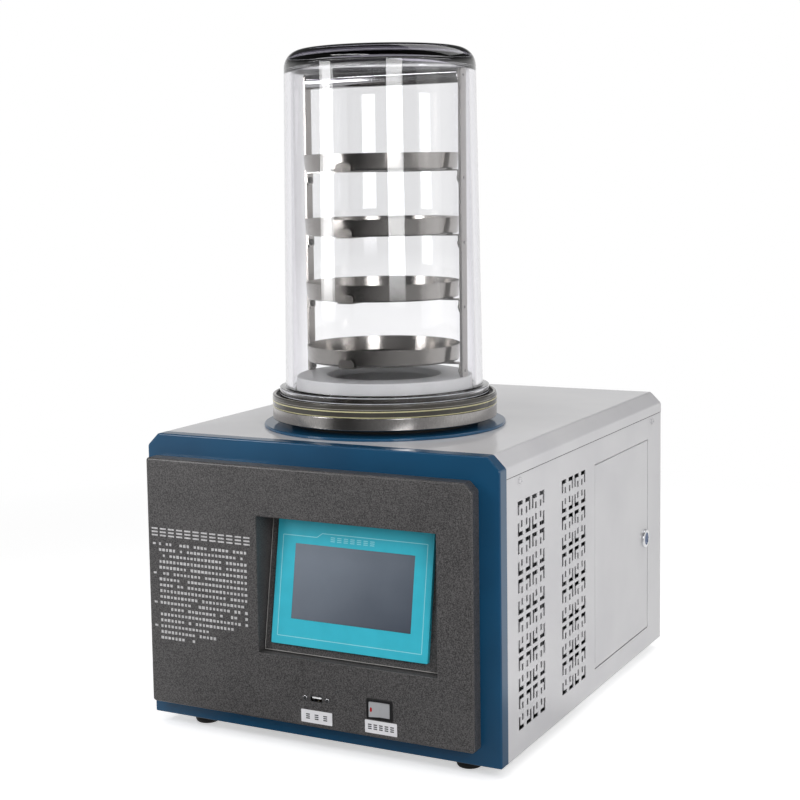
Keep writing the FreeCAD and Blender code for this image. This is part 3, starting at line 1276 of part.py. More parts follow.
def appliance_socket(label, middle, pins):
    """Mains connector in the rear sheet: flange outside, moulded body inside, open cavity."""
    low, high = "socket_height - socket_tall / 2", "socket_height + socket_tall / 2"
    left, right = f"{middle} - socket_width / 2", f"{middle} + socket_width / 2"
    flange = block(f"{left} - socket_flange", "rear_face", f"{low} - socket_flange / 4",
                   "socket_width + 2 * socket_flange", "socket_flange_thick",
                   "socket_tall + socket_flange / 2")
    body = block(left, "rear_face - socket_depth", low, "socket_width", "socket_depth",
                 "socket_tall")
    cavity = block(f"{middle} - cavity_width / 2",
                   "rear_face + socket_flange_thick - cavity_depth",
                   "socket_height - cavity_height / 2", "cavity_width",
                   "cavity_depth + overcut", "cavity_height")
    shell = cut(joined([flange, body]), cavity)
    root = "rear_face + socket_flange_thick - cavity_depth - overcut"
    if not pins:
        core = block(f"{middle} - cavity_width / 2 + core_gap", root,
                     "socket_height - cavity_height / 2 + core_gap", "cavity_width - 2 * core_gap",
                     "cavity_depth", "cavity_height - 2 * core_gap")
        return node(joined([shell, core]), label)
    blades = []
    for across, up in (("-blade_spacing", "-blade_offset"), ("0", "blade_offset"),
                       ("blade_spacing", "-blade_offset")):
        blades.append(block(f"{middle} + {across} - blade_thick / 2", root,
                            f"socket_height + {up} - blade_height / 2", "blade_thick",
                            "cavity_depth - blade_setback", "blade_height"))
    return node(joined([shell] + blades), label)


def build_drain():
    """Drain elbow from the trap floor to a ball valve behind the rear sheet, with its lever."""
    start = "pot_floor - pot_wall"
    drop = rod("0", "chamber_back", start, "drain_radius",
               f"{start} - drain_height + drain_radius", "-z")
    run = rod("0", "chamber_back", "drain_height", "drain_radius",
              "rear_face + valve_gap + valve_length + spigot - chamber_back", "y")
    valve = block("-valve_size / 2", "rear_face + valve_gap", "drain_height - valve_size / 2",
                  "valve_size", "valve_length", "valve_size")
    neck = rod("0", "valve_middle", "drain_height + valve_size / 2",
               "stem_radius + stem_wall", "stem_height / 2")
    inner_drop = rod("0", "chamber_back", f"{start} + overcut", "drain_bore",
                     f"{start} - drain_height + overcut", "-z")
    inner_run = rod("0", "chamber_back", "drain_height", "drain_bore",
                    "rear_face + rear_reach - chamber_back", "y")
    stem_bore = rod("0", "valve_middle", "drain_height", "stem_radius + running_gap",
                    "valve_size")
    solid = joined([drop, run, valve, neck])
    node(cut(cut(solid, joined([inner_drop, inner_run])), stem_bore), "drain_valve")
    stem = rod("0", "0", "0", "stem_radius", "stem_height + stem_seat")
    seat = "stem_height / 2 + stem_seat + fit_gap"
    hub = rod("0", "0", seat, "lever_width / 2", "lever_thick + lever_boss")
    lever = block("0", "-lever_width / 2", seat, "lever_length", "lever_width", "lever_thick")
    node(joined([stem, hub, lever]), "valve_handle", "0", "front + valve_middle",
         "drain_height + valve_size / 2 - stem_seat")


# ---------------------------------------------------------------- whole machine

def check_and_write():
    """Checks every object and every piece, then writes one file for each node."""
    doc.recompute()
    for item in doc.Objects:
        if "Invalid" in item.State or "Error" in item.State:
            raise RuntimeError(f"{item.Name} ({item.Label}) did not build: {item.State}")
    for item in NODES:
        if item.Shape.isNull() or not item.Shape.isValid():
            raise RuntimeError(f"{item.Label} has no valid shape")
    os.makedirs("parts", exist_ok=True)
    for item in NODES:
        item.Shape.exportStep(f"parts/{item.Label}.step")
    print(f"{len(NODES)} nodes written")


fill_sheet()
build_bezel()
build_base_tray()
build_lid()
build_left_panel()
build_right_panel()
build_rear_panel()
build_feet()
build_cover_screws()
build_control_panel()
build_touch_screen()
build_usb_socket()
build_switch()
build_chamber()
build_posts()
build_handle()
for shelf_level in range(int(value("shelf_count"))):
    build_shelf(shelf_level)
    build_tray(shelf_level)
build_rack_screws()
build_door()
build_lock()
build_compressor()
build_condenser()
build_fan()
build_pipework()
build_electrics()
appliance_socket("power_inlet", "inlet_middle", pins=True)
appliance_socket("pump_outlet", "outlet_middle", pins=False)
build_drain()
check_and_write()
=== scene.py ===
"""Looks of a bench-top freeze dryer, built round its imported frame.

Metres, +Z up, standing on z = 0, operator's side towards -Y. Shapes are drawn in millimetres, in
the machine's own place, and brought to metres as each piece is finished.
"""

import logging
import math
import random
from dataclasses import dataclass
from enum import Enum
from typing import Any, Callable, Iterable, Optional, Sequence

import bmesh
import bpy
from mathutils import Matrix, Vector


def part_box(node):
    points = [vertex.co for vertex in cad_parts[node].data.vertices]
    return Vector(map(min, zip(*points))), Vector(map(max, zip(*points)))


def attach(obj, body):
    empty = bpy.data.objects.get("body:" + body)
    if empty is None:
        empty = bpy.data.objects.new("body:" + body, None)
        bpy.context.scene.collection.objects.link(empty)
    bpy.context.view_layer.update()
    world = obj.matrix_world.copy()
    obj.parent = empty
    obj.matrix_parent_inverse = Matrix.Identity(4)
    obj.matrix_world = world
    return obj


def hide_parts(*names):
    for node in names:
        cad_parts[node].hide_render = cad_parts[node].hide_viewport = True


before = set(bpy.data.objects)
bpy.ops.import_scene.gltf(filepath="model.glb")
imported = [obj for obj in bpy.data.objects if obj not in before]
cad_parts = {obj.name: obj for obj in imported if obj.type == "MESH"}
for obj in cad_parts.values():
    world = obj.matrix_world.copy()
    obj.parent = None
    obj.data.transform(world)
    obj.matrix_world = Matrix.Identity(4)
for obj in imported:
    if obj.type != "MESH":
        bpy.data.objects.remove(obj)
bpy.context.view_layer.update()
MM = 0.001
log = logging.getLogger("freeze_dryer")

Shape = bmesh.types.BMesh
Socket = bpy.types.NodeSocket


class Body(Enum):
    """Moving body that a piece rides on."""

    CABINET = "cabinet"
    DOOR = "door"
    LOCK = "lock"
    ROCKER = "rocker"
    FAN = "fan"
    LEVER = "drain_lever"


class Slot(Enum):
    """Material slot of the record, by name."""

    BLUE = "blue_paint"
    CHARCOAL = "charcoal_pan"
    LIGHT = "light_paint"
    ZINC = "zinc_steel"
    STEEL = "steel"
    POLISHED = "polished_steel"
    CHROME = "lock_chrome"
    RUBBER = "black_rubber"
    TEAL = "teal_frame"
    SCREEN = "screen"
    SWITCH_BLACK = "switch_black"
    SWITCH_GREY = "switch_grey"
    FOAM = "foam"
    SILICONE = "silicone"
    ACRYLIC = "clear_acrylic"
    WHITE = "white_plastic"
    ENAMEL = "compressor_black"
    FINS = "fin_aluminium"
    FAN = "fan_plastic"
    COPPER = "copper"
    BRASS = "brass"
    RED = "lever_red"


class Axis(Enum):
    """Direction that a turned piece or a screw points in, as a turn from straight up."""

    UP = Matrix.Identity(4)
    RIGHT = Matrix.Rotation(math.pi / 2, 4, "Y")
    LEFT = Matrix.Rotation(-math.pi / 2, 4, "Y")
    FRONT = Matrix.Rotation(math.pi / 2, 4, "X")


# ---------------------------------------------------------------- finishes

def linear(code: str) -> tuple[float, float, float, float]:
    """Linear colour of an sRGB hex value.

    Args:
        code: Colour such as "#1F4C6B".

    Returns:
        Red, green, blue and an alpha of 1.
    """
    parts = [int(code[i:i + 2], 16) / 255 for i in (1, 3, 5)]
    red, green, blue = (p / 12.92 if p <= 0.04045 else ((p + 0.055) / 1.055) ** 2.4 for p in parts)
    return red, green, blue, 1.0


def add_node(tree: bpy.types.NodeTree, kind: str, inputs: Optional[dict[Any, Any]] = None,
             **settings: Any) -> bpy.types.Node:
    """Adds one shader node.

    Args:
        tree: Node tree that it goes into.
        kind: Type of node, without its prefix.
        inputs: Number, colour or socket for each input, by name or index.
        **settings: The node's own properties.

    Returns:
        The node.
    """
    node = tree.nodes.new("ShaderNode" + kind)
    for name, setting in settings.items():
        setattr(node, name, setting)
    for key, given in (inputs or {}).items():
        if isinstance(given, Socket):
            tree.links.new(given, node.inputs[key])
        else:
            node.inputs[key].default_value = given
    return node


def round_axis(tree: bpy.types.NodeTree, place: Socket, x: float,
               y: float) -> tuple[Socket, Socket]:
    """Distance of each point from an upright axis, and its height.

    Args:
        tree: Node tree of the material.
        place: Where each point lies on the machine, in metres.
        x: Where the axis stands, to the right.
        y: Where the axis stands, to the back.

    Returns:
        The distance and the height.
    """
    centred = add_node(tree, "Mapping", {"Vector": place, "Location": (-x, -y, 0.0)}).outputs[0]
    flat = add_node(tree, "Mapping", {"Vector": centred, "Scale": (1.0, 1.0, 0.0)}).outputs[0]
    radius = add_node(tree, "VectorMath", {0: flat}, operation="LENGTH").outputs["Value"]
    return radius, add_node(tree, "SeparateXYZ", {0: centred}).outputs[2]


@dataclass(frozen=True)
class Finish:
    """What every finish has: its name, its colour and how dull it is."""

    name: str
    colour: str
    roughness: float = 0.5

    def surface(self, tree: bpy.types.NodeTree, place: Socket) -> dict[str, Any]:
        """Shader inputs beyond plain colour and roughness, by name: none without a pattern."""
        return {}

    def material(self) -> bpy.types.Material:
        """The finish as a material, made once.

        Returns:
            The material.
        """
        made = bpy.data.materials.get(self.name)
        if made:
            return made
        made = bpy.data.materials.new(self.name)
        made.use_nodes = True
        tree = made.node_tree
        tree.nodes.clear()
        place = add_node(tree, "TexCoord").outputs["Object"]
        inputs = {"Base Color": linear(self.colour), "Roughness": self.roughness}
        inputs.update(self.surface(tree, place))
        shader = add_node(tree, "BsdfPrincipled", inputs)
        add_node(tree, "OutputMaterial", {"Surface": shader.outputs[0]})
        return made


@dataclass(frozen=True)
class StoveEnamel(Finish):
    """Paint sprayed on sheet steel and baked: an even gloss coat with a faint orange peel."""

    cloud: str = "#000000"
    cloud_mm: float = 120.0
    gloss: float = 0.4
    coat_roughness: float = 0.05
    body_shine: float = 0.25
    peel_mm: float = 2.2
    peel_depth_mm: float = 0.008

    def surface(self, tree: bpy.types.NodeTree, place: Socket) -> dict[str, Any]:
        """Two close shades in wide clouds, and the orange peel as relief.

        Args:
            tree: Node tree of the material.
            place: Where each point lies on the machine, in metres.

        Returns:
            Inputs of the shader, by name.
        """
        wide = add_node(tree, "TexNoise", {"Vector": place, "Scale": 1 / (self.cloud_mm * MM),
                                           "Detail": 3.0})
        tone = add_node(tree, "MapRange", {"Value": wide.outputs[0], "From Min": 0.35,
                                           "From Max": 0.65})
        colour = add_node(tree, "Mix", {0: tone.outputs[0], 6: linear(self.colour),
                                        7: linear(self.cloud)}, data_type="RGBA")
        peel = add_node(tree, "TexNoise", {"Vector": place, "Scale": 1 / (self.peel_mm * MM),
                                           "Detail": 1.0})
        dull = add_node(tree, "MapRange", {"Value": wide.outputs[0],
                                           "To Min": self.roughness * 0.85,
                                           "To Max": self.roughness * 1.15})
        relief = add_node(tree, "Bump", {"Height": peel.outputs[0],
                                         "Distance": self.peel_depth_mm * MM, "Strength": 1.0})
        return {"Base Color": colour.outputs[2], "Roughness": dull.outputs[0],
                "Normal": relief.outputs[0], "Specular IOR Level": self.body_shine,
                "Coat Weight": self.gloss, "Coat Roughness": self.coat_roughness}


@dataclass(frozen=True)
class GrainedPlastic(Finish):
    """Moulding with a spark-eroded grain: pale specks on a darker ground, slightly rough."""

    speck: str = "#808080"
    grain_mm: float = 1.1
    depth_mm: float = 0.05
    cloud: float = 0.18
    cloud_grains: float = 45.0

    def surface(self, tree: bpy.types.NodeTree, place: Socket) -> dict[str, Any]:
        """Specks of two sizes in the colour and as relief.

        Args:
            tree: Node tree of the material.
            place: Where each point lies on the machine, in metres.

        Returns:
            Inputs of the shader, by name.
        """
        fine = add_node(tree, "TexNoise", {"Vector": place, "Scale": 1 / (self.grain_mm * MM),
                                           "Detail": 2.0, "Roughness": 0.7})
        wide = add_node(tree, "TexNoise", {"Vector": place, "Detail": 2.0,
                                           "Scale": 1 / (self.cloud_grains * self.grain_mm * MM)})
        blend = add_node(tree, "Mix", {0: self.cloud, 2: fine.outputs[0], 3: wide.outputs[0]})
        tone = add_node(tree, "MapRange", {"Value": blend.outputs[0], "From Min": 0.36,
                                           "From Max": 0.66})
        colour = add_node(tree, "Mix", {0: tone.outputs[0], 6: linear(self.colour),
                                        7: linear(self.speck)}, data_type="RGBA")
        relief = add_node(tree, "Bump", {"Height": fine.outputs[0], "Distance": self.depth_mm * MM,
                                         "Strength": 1.0})
        return {"Base Color": colour.outputs[2], "Normal": relief.outputs[0]}


@dataclass(frozen=True)
class Plastic(Finish):
    """Plain moulded or turned plastic: even colour, faint flow marks and handling dullness."""

    mottle: float = 0.08
    mottle_mm: float = 18.0
    skin_mm: float = 0.8
    depth_mm: float = 0.01
    coat: float = 0.0
    glow: float = 0.0
    glow_mm: float = 4.0

    def surface(self, tree: bpy.types.NodeTree, place: Socket) -> dict[str, Any]:
        """Slight mottle in tone and dullness, and a fine skin as relief.

        Args:
            tree: Node tree of the material.
            place: Where each point lies on the machine, in metres.

        Returns:
            Inputs of the shader, by name.
        """
        wide = add_node(tree, "TexNoise", {"Vector": place, "Scale": 1 / (self.mottle_mm * MM),
                                           "Detail": 4.0})
        value = add_node(tree, "MapRange", {"Value": wide.outputs[0], "From Min": 0.3,
                                            "From Max": 0.7, "To Min": 1 - self.mottle,
                                            "To Max": 1 + self.mottle})
        colour = add_node(tree, "HueSaturation", {"Value": value.outputs[0],
                                                  "Color": linear(self.colour)})
        dull = add_node(tree, "MapRange", {"Value": wide.outputs[0],
                                           "To Min": self.roughness * 0.8,
                                           "To Max": self.roughness * 1.2})
        skin = add_node(tree, "TexNoise", {"Vector": place, "Scale": 1 / (self.skin_mm * MM),
                                           "Detail": 2.0})
        relief = add_node(tree, "Bump", {"Height": skin.outputs[0], "Distance": self.depth_mm * MM,
                                         "Strength": 1.0})
        return {"Base Color": colour.outputs[0], "Roughness": dull.outputs[0],
                "Normal": relief.outputs[0], "Coat Weight": self.coat, "Coat Roughness": 0.05,
                "Subsurface Weight": self.glow, "Subsurface Radius": (self.glow_mm * MM,) * 3}


@dataclass(frozen=True)
class BrushedSteel(Finish):
    """Rolled or ground metal: fine straight scratches that draw the highlights out.

    Real scratches are a few hundredths of a millimetre wide, too fine to show, so they are drawn as
    streaks of scratch_mm, and narrower across their run by the numbers in along.
    """

    along: tuple[float, float, float] = (1.0, 12.0, 12.0)
    scratch_mm: float = 5.0
    depth_mm: float = 0.006
    contrast: float = 0.12

    def pattern(self, tree: bpy.types.NodeTree, place: Socket) -> Socket:
        """Places as the scratches see them: squeezed across their run."""
        return add_node(tree, "Mapping", {"Vector": place, "Scale": self.along}).outputs[0]

    def surface(self, tree: bpy.types.NodeTree, place: Socket) -> dict[str, Any]:
        """Scratches in tone, dullness and relief.

        Args:
            tree: Node tree of the material.
            place: Where each point lies on the machine, in metres.

        Returns:
            Inputs of the shader, by name.
        """
        drawn = self.pattern(tree, place)
        scratch = add_node(tree, "TexNoise", {"Vector": drawn, "Scale": 1 / (self.scratch_mm * MM),
                                              "Detail": 5.0, "Roughness": 0.65})
        value = add_node(tree, "MapRange", {"Value": scratch.outputs[0], "From Min": 0.3,
                                            "From Max": 0.7, "To Min": 1 - self.contrast,
                                            "To Max": 1 + self.contrast / 2})
        colour = add_node(tree, "HueSaturation", {"Value": value.outputs[0],
                                                  "Color": linear(self.colour)})
        dull = add_node(tree, "MapRange", {"Value": scratch.outputs[0],
                                           "To Min": self.roughness * 0.7,
                                           "To Max": self.roughness * 1.3})
        relief = add_node(tree, "Bump", {"Height": scratch.outputs[0],
                                         "Distance": self.depth_mm * MM, "Strength": 1.0})
        return {"Base Color": colour.outputs[0], "Roughness": dull.outputs[0], "Metallic": 1.0,
                "Normal": relief.outputs[0]}


@dataclass(frozen=True)
class TurnedSteel(BrushedSteel):
    """Metal faced on a lathe: the tool's marks run round the axis, in rings of close tones."""

    centre: tuple[float, float] = (0.0, 0.0)
    finer: float = 8.0

    def pattern(self, tree: bpy.types.NodeTree, place: Socket) -> Socket:
        """Places as the tool's marks see them.

        Args:
            tree: Node tree of the material.
            place: Where each point lies on the machine, in metres.

        Returns:
            Distance from the axis and height, the same all the way round.
        """
        radius, height = round_axis(tree, place, *self.centre)
        joined = add_node(tree, "CombineXYZ", {0: radius, 2: height}).outputs[0]
        return add_node(tree, "Mapping", {"Vector": joined, "Scale": (self.finer,) * 3}).outputs[0]


@dataclass(frozen=True)
class ZincPlate(Finish):
    """Zinc-coated sheet: soft grey crystals of different sheen, a few millimetres across."""

    spangle_mm: float = 9.0

    def surface(self, tree: bpy.types.NodeTree, place: Socket) -> dict[str, Any]:
        """Cells that differ in tone and dullness.

        Args:
            tree: Node tree of the material.
            place: Where each point lies on the machine, in metres.

        Returns:
            Inputs of the shader, by name.
        """
        cells = add_node(tree, "TexVoronoi", {"Vector": place,
                                              "Scale": 1 / (self.spangle_mm * MM)})
        grey = add_node(tree, "RGBToBW", {0: cells.outputs["Color"]}).outputs[0]
        value = add_node(tree, "MapRange", {"Value": grey, "To Min": 0.85, "To Max": 1.08})
        colour = add_node(tree, "HueSaturation", {"Value": value.outputs[0],
                                                  "Color": linear(self.colour)})
        dull = add_node(tree, "MapRange", {"Value": grey, "To Min": self.roughness * 0.75,
                                           "To Max": self.roughness * 1.3})
        return {"Base Color": colour.outputs[0], "Roughness": dull.outputs[0], "Metallic": 1.0}


@dataclass(frozen=True)
class CastAcrylic(Finish):
    """Clear cast acrylic, polished: you see through it, and only its edges and shoulders show."""

    # Colour of the painted shade on the crown.
    shade: str = "#FFFFFF"
    grazed: str = "#FFFFFF"
    grazing: tuple[float, float] = (0.3, 0.8)
    wave_mm: float = 60.0
    depth_mm: float = 0.004
    shoulder_mm: tuple[float, float] = (20.0, 13.0)
    shoulder_share: tuple[float, float] = (0.69, 0.74)

    def surface(self, tree: bpy.types.NodeTree, place: Socket) -> dict[str, Any]:
        """Faint waves, as a cast tube has, a smoky tint where the wall is seen edge-on, and painted
        shade on the crown, for the dark room that shows through it.

        Args:
            tree: Node tree of the material.
            place: Where each point lies on the machine, in metres.

        Returns:
            Inputs of the shader, by name.
        """
        wave = add_node(tree, "TexNoise", {"Vector": place, "Scale": 1 / (self.wave_mm * MM),
                                           "Detail": 1.0})
        relief = add_node(tree, "Bump", {"Height": wave.outputs[0], "Distance": self.depth_mm * MM,
                                         "Strength": 1.0})
        bell = Span.of("dome")
        axis, radius = bell.middle * MM, (bell.hi.x - bell.lo.x) / 2 * MM
        out, height = round_axis(tree, place, axis.x, axis.y)
        # Painted shade: inside the crown's ring and above this height the wall turns to the shade
        # colour, for the dark room seen through the crown.
        inner, outer = (share * radius for share in self.shoulder_share)
        rim = add_node(tree, "MapRange", {"Value": out, "From Min": inner, "From Max": outer})
        low, high = (bell.hi.z * MM - drop * MM for drop in self.shoulder_mm)
        up = add_node(tree, "MapRange", {"Value": height, "From Min": low, "From Max": high})
        thick = add_node(tree, "Math", {0: rim.outputs[0], 1: up.outputs[0]}, operation="MULTIPLY")
        facing = add_node(tree, "LayerWeight", {"Blend": 0.5}).outputs["Facing"]
        edge = add_node(tree, "MapRange", {"Value": facing, "From Min": self.grazing[0],
                                           "From Max": self.grazing[1]})
        wall = add_node(tree, "Mix", {0: edge.outputs[0], 6: linear(self.colour),
                                      7: linear(self.grazed)}, data_type="RGBA")
        tint = add_node(tree, "Mix", {0: thick.outputs[0], 6: wall.outputs[2],
                                      7: linear(self.shade)}, data_type="RGBA")
        return {"Base Color": tint.outputs[2], "Transmission Weight": 1.0, "IOR": 1.49,
                "Normal": relief.outputs[0]}


@dataclass(frozen=True)
class SealRubber(Finish):
    """Moulded silicone: milky, half clear, with a soft shine."""

    clear: float = 0.35
    cloud_mm: float = 14.0

    def surface(self, tree: bpy.types.NodeTree, place: Socket) -> dict[str, Any]:
        """Tone that changes in soft clouds round the ring.

        Args:
            tree: Node tree of the material.
            place: Where each point lies on the machine, in metres.

        Returns:
            Inputs of the shader, by name.
        """
        cloud = add_node(tree, "TexNoise", {"Vector": place, "Scale": 1 / (self.cloud_mm * MM),
                                            "Detail": 3.0})
        value = add_node(tree, "MapRange", {"Value": cloud.outputs[0], "To Min": 0.8,
                                            "To Max": 1.15})
        colour = add_node(tree, "HueSaturation", {"Value": value.outputs[0],
                                                  "Color": linear(self.colour)})
        return {"Base Color": colour.outputs[0], "Transmission Weight": self.clear, "IOR": 1.41}


@dataclass(frozen=True)
class DisplayPane(Finish):
    """Unlit picture under a smooth cover: grey-blue with smears, and a painted reflection that
    makes it paler towards the upper left.
    """

    pale: str = "#808892"
    smears: float = 0.22
    smear_mm: float = 55.0
    low: tuple[float, float, float] = (0.0, 0.0, 0.0)
    high: tuple[float, float, float] = (1.0, 1.0, 1.0)

    def surface(self, tree: bpy.types.NodeTree, place: Socket) -> dict[str, Any]:
        """Painted reflection: a slanting change of tone across the picture, broken by faint clouds.

        Args:
            tree: Node tree of the material.
            place: Where each point lies on the machine, in metres.

        Returns:
            Inputs of the shader, by name.
        """
        parts = add_node(tree, "SeparateXYZ", {0: place})
        across = add_node(tree, "MapRange", {"Value": parts.outputs[0], "From Min": self.low[0],
                                             "From Max": self.high[0], "To Min": 0.5,
                                             "To Max": 0.0})
        up = add_node(tree, "MapRange", {"Value": parts.outputs[2], "From Min": self.low[2],
                                         "From Max": self.high[2], "To Max": 0.5})
        total = add_node(tree, "Math", {0: across.outputs[0], 1: up.outputs[0]}, operation="ADD")
        cloud = add_node(tree, "TexNoise", {"Vector": place, "Scale": 1 / (self.smear_mm * MM),
                                            "Detail": 3.0})
        tone = add_node(tree, "Mix", {0: self.smears, 2: total.outputs[0], 3: cloud.outputs[0]})
        colour = add_node(tree, "Mix", {0: tone.outputs[0], 6: linear(self.colour),
                                        7: linear(self.pale)}, data_type="RGBA")
        return {"Base Color": colour.outputs[2], "Coat Weight": 0.6, "Coat Roughness": 0.1}


@dataclass(frozen=True)
class CellFoam(Finish):
    """Closed-cell foam jacket: matt, with small rounded cells."""

    cell_mm: float = 2.5
    depth_mm: float = 0.4

    def surface(self, tree: bpy.types.NodeTree, place: Socket) -> dict[str, Any]:
        """Cells as relief and as a slight change of tone.

        Args:
            tree: Node tree of the material.
            place: Where each point lies on the machine, in metres.

        Returns:
            Inputs of the shader, by name.
        """
        cells = add_node(tree, "TexVoronoi", {"Vector": place, "Scale": 1 / (self.cell_mm * MM)})
        value = add_node(tree, "MapRange", {"Value": cells.outputs[0], "To Min": 0.7,
                                            "To Max": 1.3})
        colour = add_node(tree, "HueSaturation", {"Value": value.outputs[0],
                                                  "Color": linear(self.colour)})
        relief = add_node(tree, "Bump", {"Height": cells.outputs[0],
                                         "Distance": self.depth_mm * MM, "Strength": 1.0})
        return {"Base Color": colour.outputs[0], "Normal": relief.outputs[0]}


# Sprayed and baked enamel: a wet-looking skin over a deep even colour, with a faint orange peel.
BLUE = StoveEnamel("blue_stove_enamel", "#0C4A6E", 0.4, cloud="#094264", gloss=0.55)
LIGHT = StoveEnamel("light_grey_stove_enamel", "#D9D8DA", 0.4, cloud="#D2D1D4", gloss=0.65,
                    coat_roughness=0.09)
BLACK_ENAMEL = StoveEnamel("black_stove_enamel", "#17181A", 0.32, cloud="#202124", gloss=0.4)
LOCK_BLUE = StoveEnamel("dark_blue_lock_insert", "#1A4F86", 0.3, cloud="#15447A", gloss=0.4)
# Spark-eroded mould: pale sparkle on charcoal. The real grain is about 0.5 mm, too fine to show,
# and is drawn as coarse as it needs to show.
CHARCOAL = GrainedPlastic("charcoal_grained_moulding", "#2C2B2C", 0.33, speck="#666464",
                          grain_mm=1.35, depth_mm=0.2, cloud=0.08)
# Pale line on the recess's fold: a painted highlight, where the fold catches the light.
FOLD_HIGHLIGHT = Plastic("painted_fold_highlight", "#B0AEAB", 0.3)
# Moulded rubber: almost black and matt. On the seam strip under the lid and the sleeve under the
# flange it is painted shade, standing for shadow in those gaps.
BLACK_RUBBER = GrainedPlastic("moulded_rubber", "#131313", 0.75, speck="#232323", grain_mm=0.9)
# Printed polyester film over the screen's frame: flat clean colour with a dull shine.
TEAL = Plastic("teal_polyester_overlay", "#35B8CE", 0.32, mottle=0.04)
PALE_TEAL = Plastic("pale_overlay_print", "#8FD9E4", 0.35, mottle=0.05)
# Screen-printed ink on the grain: broken a little, so it varies in tone within each mark.
INK = Plastic("pale_screen_print", "#C2C1C2", 0.5, mottle=0.25, mottle_mm=1.6)
# Vinyl label film and the toner on it.
LABEL = Plastic("white_label_film", "#E4E3E6", 0.4, mottle=0.03)
DARK_INK = Plastic("dark_label_print", "#3A3A3D", 0.5, mottle=0.2, mottle_mm=1.2)
# Moulded technical plastics: soft wide highlights, slightly worn.
BLACK_PLASTIC = Plastic("black_polyamide", "#1B1B1C", 0.42, depth_mm=0.02)
GREY_PLASTIC = Plastic("light_grey_polycarbonate", "#A6A7AA", 0.3, mottle=0.04)
RED_MARK = Plastic("red_lens", "#A8161B", 0.25, coat=0.4)
RED_VINYL = Plastic("dipped_red_vinyl", "#B01E1A", 0.35, coat=0.3)
# Turned polyethylene: milky white, light goes a few millimetres in.
WHITE_PLASTIC = Plastic("white_polyethylene", "#EDEDEE", 0.42, mottle=0.03, glow=0.15)
# Foam jacket: swallows light, only its cells show.
FOAM = CellFoam("black_closed_cell_foam", "#202123", 0.85)
# Stainless steel, rolled, drawn, ground or polished: the finer the finish, the sharper its mirror.
STEEL = BrushedSteel("brushed_stainless_sheet", "#A8A4A0", 0.17)
POST_STEEL = BrushedSteel("drawn_stainless_bar", "#A39E9A", 0.3, along=(12.0, 12.0, 1.0))
FLANGE_STEEL = BrushedSteel("ground_stainless_flange", "#A6A3A1", 0.2, along=(14.0, 14.0, 1.0),
                            contrast=0.35)
MIRROR_STEEL = BrushedSteel("polished_stainless_bar", "#C9C8C9", 0.09, contrast=0.04)
SCREW_STEEL = BrushedSteel("dark_stainless_screw", "#6B6866", 0.22, contrast=0.3)
# Plated and plain metals of the lock, the sheets, the fins and the pipework.
CHROME = BrushedSteel("bright_chrome", "#D6D7DA", 0.06, contrast=0.03, depth_mm=0.002)
ZINC = ZincPlate("zinc_plated_sheet", "#A9ABAD", 0.38)
ALUMINIUM = BrushedSteel("mill_aluminium", "#B4B6B8", 0.35, along=(12.0, 1.0, 12.0))
COPPER = BrushedSteel("drawn_copper_tube", "#B8714E", 0.28, contrast=0.2, scratch_mm=9.0)
BRASS = BrushedSteel("nickelled_brass", "#B79E5E", 0.3)
# Cast acrylic: clear through the wall and smoky at its edges. Its crown carries painted shade, the
# shade colour standing for the dark room that shows through it.
ACRYLIC = CastAcrylic("clear_cast_acrylic", "#F5F5F6", 0.0, shade="#4B4853", grazed="#D3D1D9")
# Painted highlight: bright lines on the edges of the bell's foot.
BELL_EDGE_HIGHLIGHT = Plastic("painted_bell_edge_highlight", "#DCDDE4", 0.12, mottle=0.2, mottle_mm=9.0, coat=0.5)
# Moulded silicone: smoky body. The pale edge lines and cream beads drawn on it are painted
# highlights, where its edges catch the light.
SEAL = SealRubber("smoky_silicone", "#4E4B46", 0.12, clear=0.2)
SEAL_EDGE_HIGHLIGHT = SealRubber("painted_seal_edge_highlight", "#A9A69E", 0.2, clear=0.1)
SEAL_BEAD_HIGHLIGHT = SealRubber("painted_seal_bead_highlight", "#D9D2A4", 0.3, clear=0.1)


# ---------------------------------------------------------------- shapes

ROUND = 128          # facets round a large turned piece
SMALL_ROUND = 48     # and round a small one
WIDE = 5.0           # least turned rounding that takes more facets
MERGE = 1e-4         # points nearer than this become one
OVER = 1.0           # how far a cutting shape runs past what it cuts
NEAR = 0.01          # how near a point must be to count as lying on a face
CORNER_CREEP = 0.41  # how much a 45 degree corner shortens for each millimetre of inset


def depthwise(at: Vector, run: Vector) -> bool:
    """Whether an edge runs from front to back."""
    return abs(run.y) > 0.9


@dataclass(frozen=True)
class Span:
    """Box of a frame node, in millimetres."""

    lo: Vector
    hi: Vector

    @classmethod
    def of(cls, node: str) -> "Span":
        """Box of the named node."""
        low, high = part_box(node)
        return cls(low / MM, high / MM)

    @property
    def middle(self) -> Vector:
        """Middle of the box."""
        return (self.lo + self.hi) / 2


def block(low: Sequence[float], high: Sequence[float]) -> Shape:
    """Box between two corners.

    Args:
        low: Its left, front, lower corner.
        high: Its right, back, upper corner.

    Returns:
        The box.
    """
    shape = bmesh.new()
    bmesh.ops.create_cube(shape, size=1.0)
    low, high = Vector(low), Vector(high)
    bmesh.ops.scale(shape, vec=high - low, verts=shape.verts[:])
    bmesh.ops.translate(shape, vec=(low + high) / 2, verts=shape.verts[:])
    return shape


def plate(corners: Iterable[Sequence[float]], along: Sequence[float]) -> Shape:
    """Flat outline swept straight along a vector.

    Args:
        corners: Corners of the outline, in order.
        along: How far and which way it is swept.

    Returns:
        The closed shape.
    """
    shape = bmesh.new()
    face = shape.faces.new([shape.verts.new(corner) for corner in corners])
    swept = bmesh.ops.extrude_face_region(shape, geom=[face])["geom"]
    far_end = [item for item in swept if isinstance(item, bmesh.types.BMVert)]
    bmesh.ops.translate(shape, vec=along, verts=far_end)
    bmesh.ops.recalc_face_normals(shape, faces=shape.faces[:])
    return shape


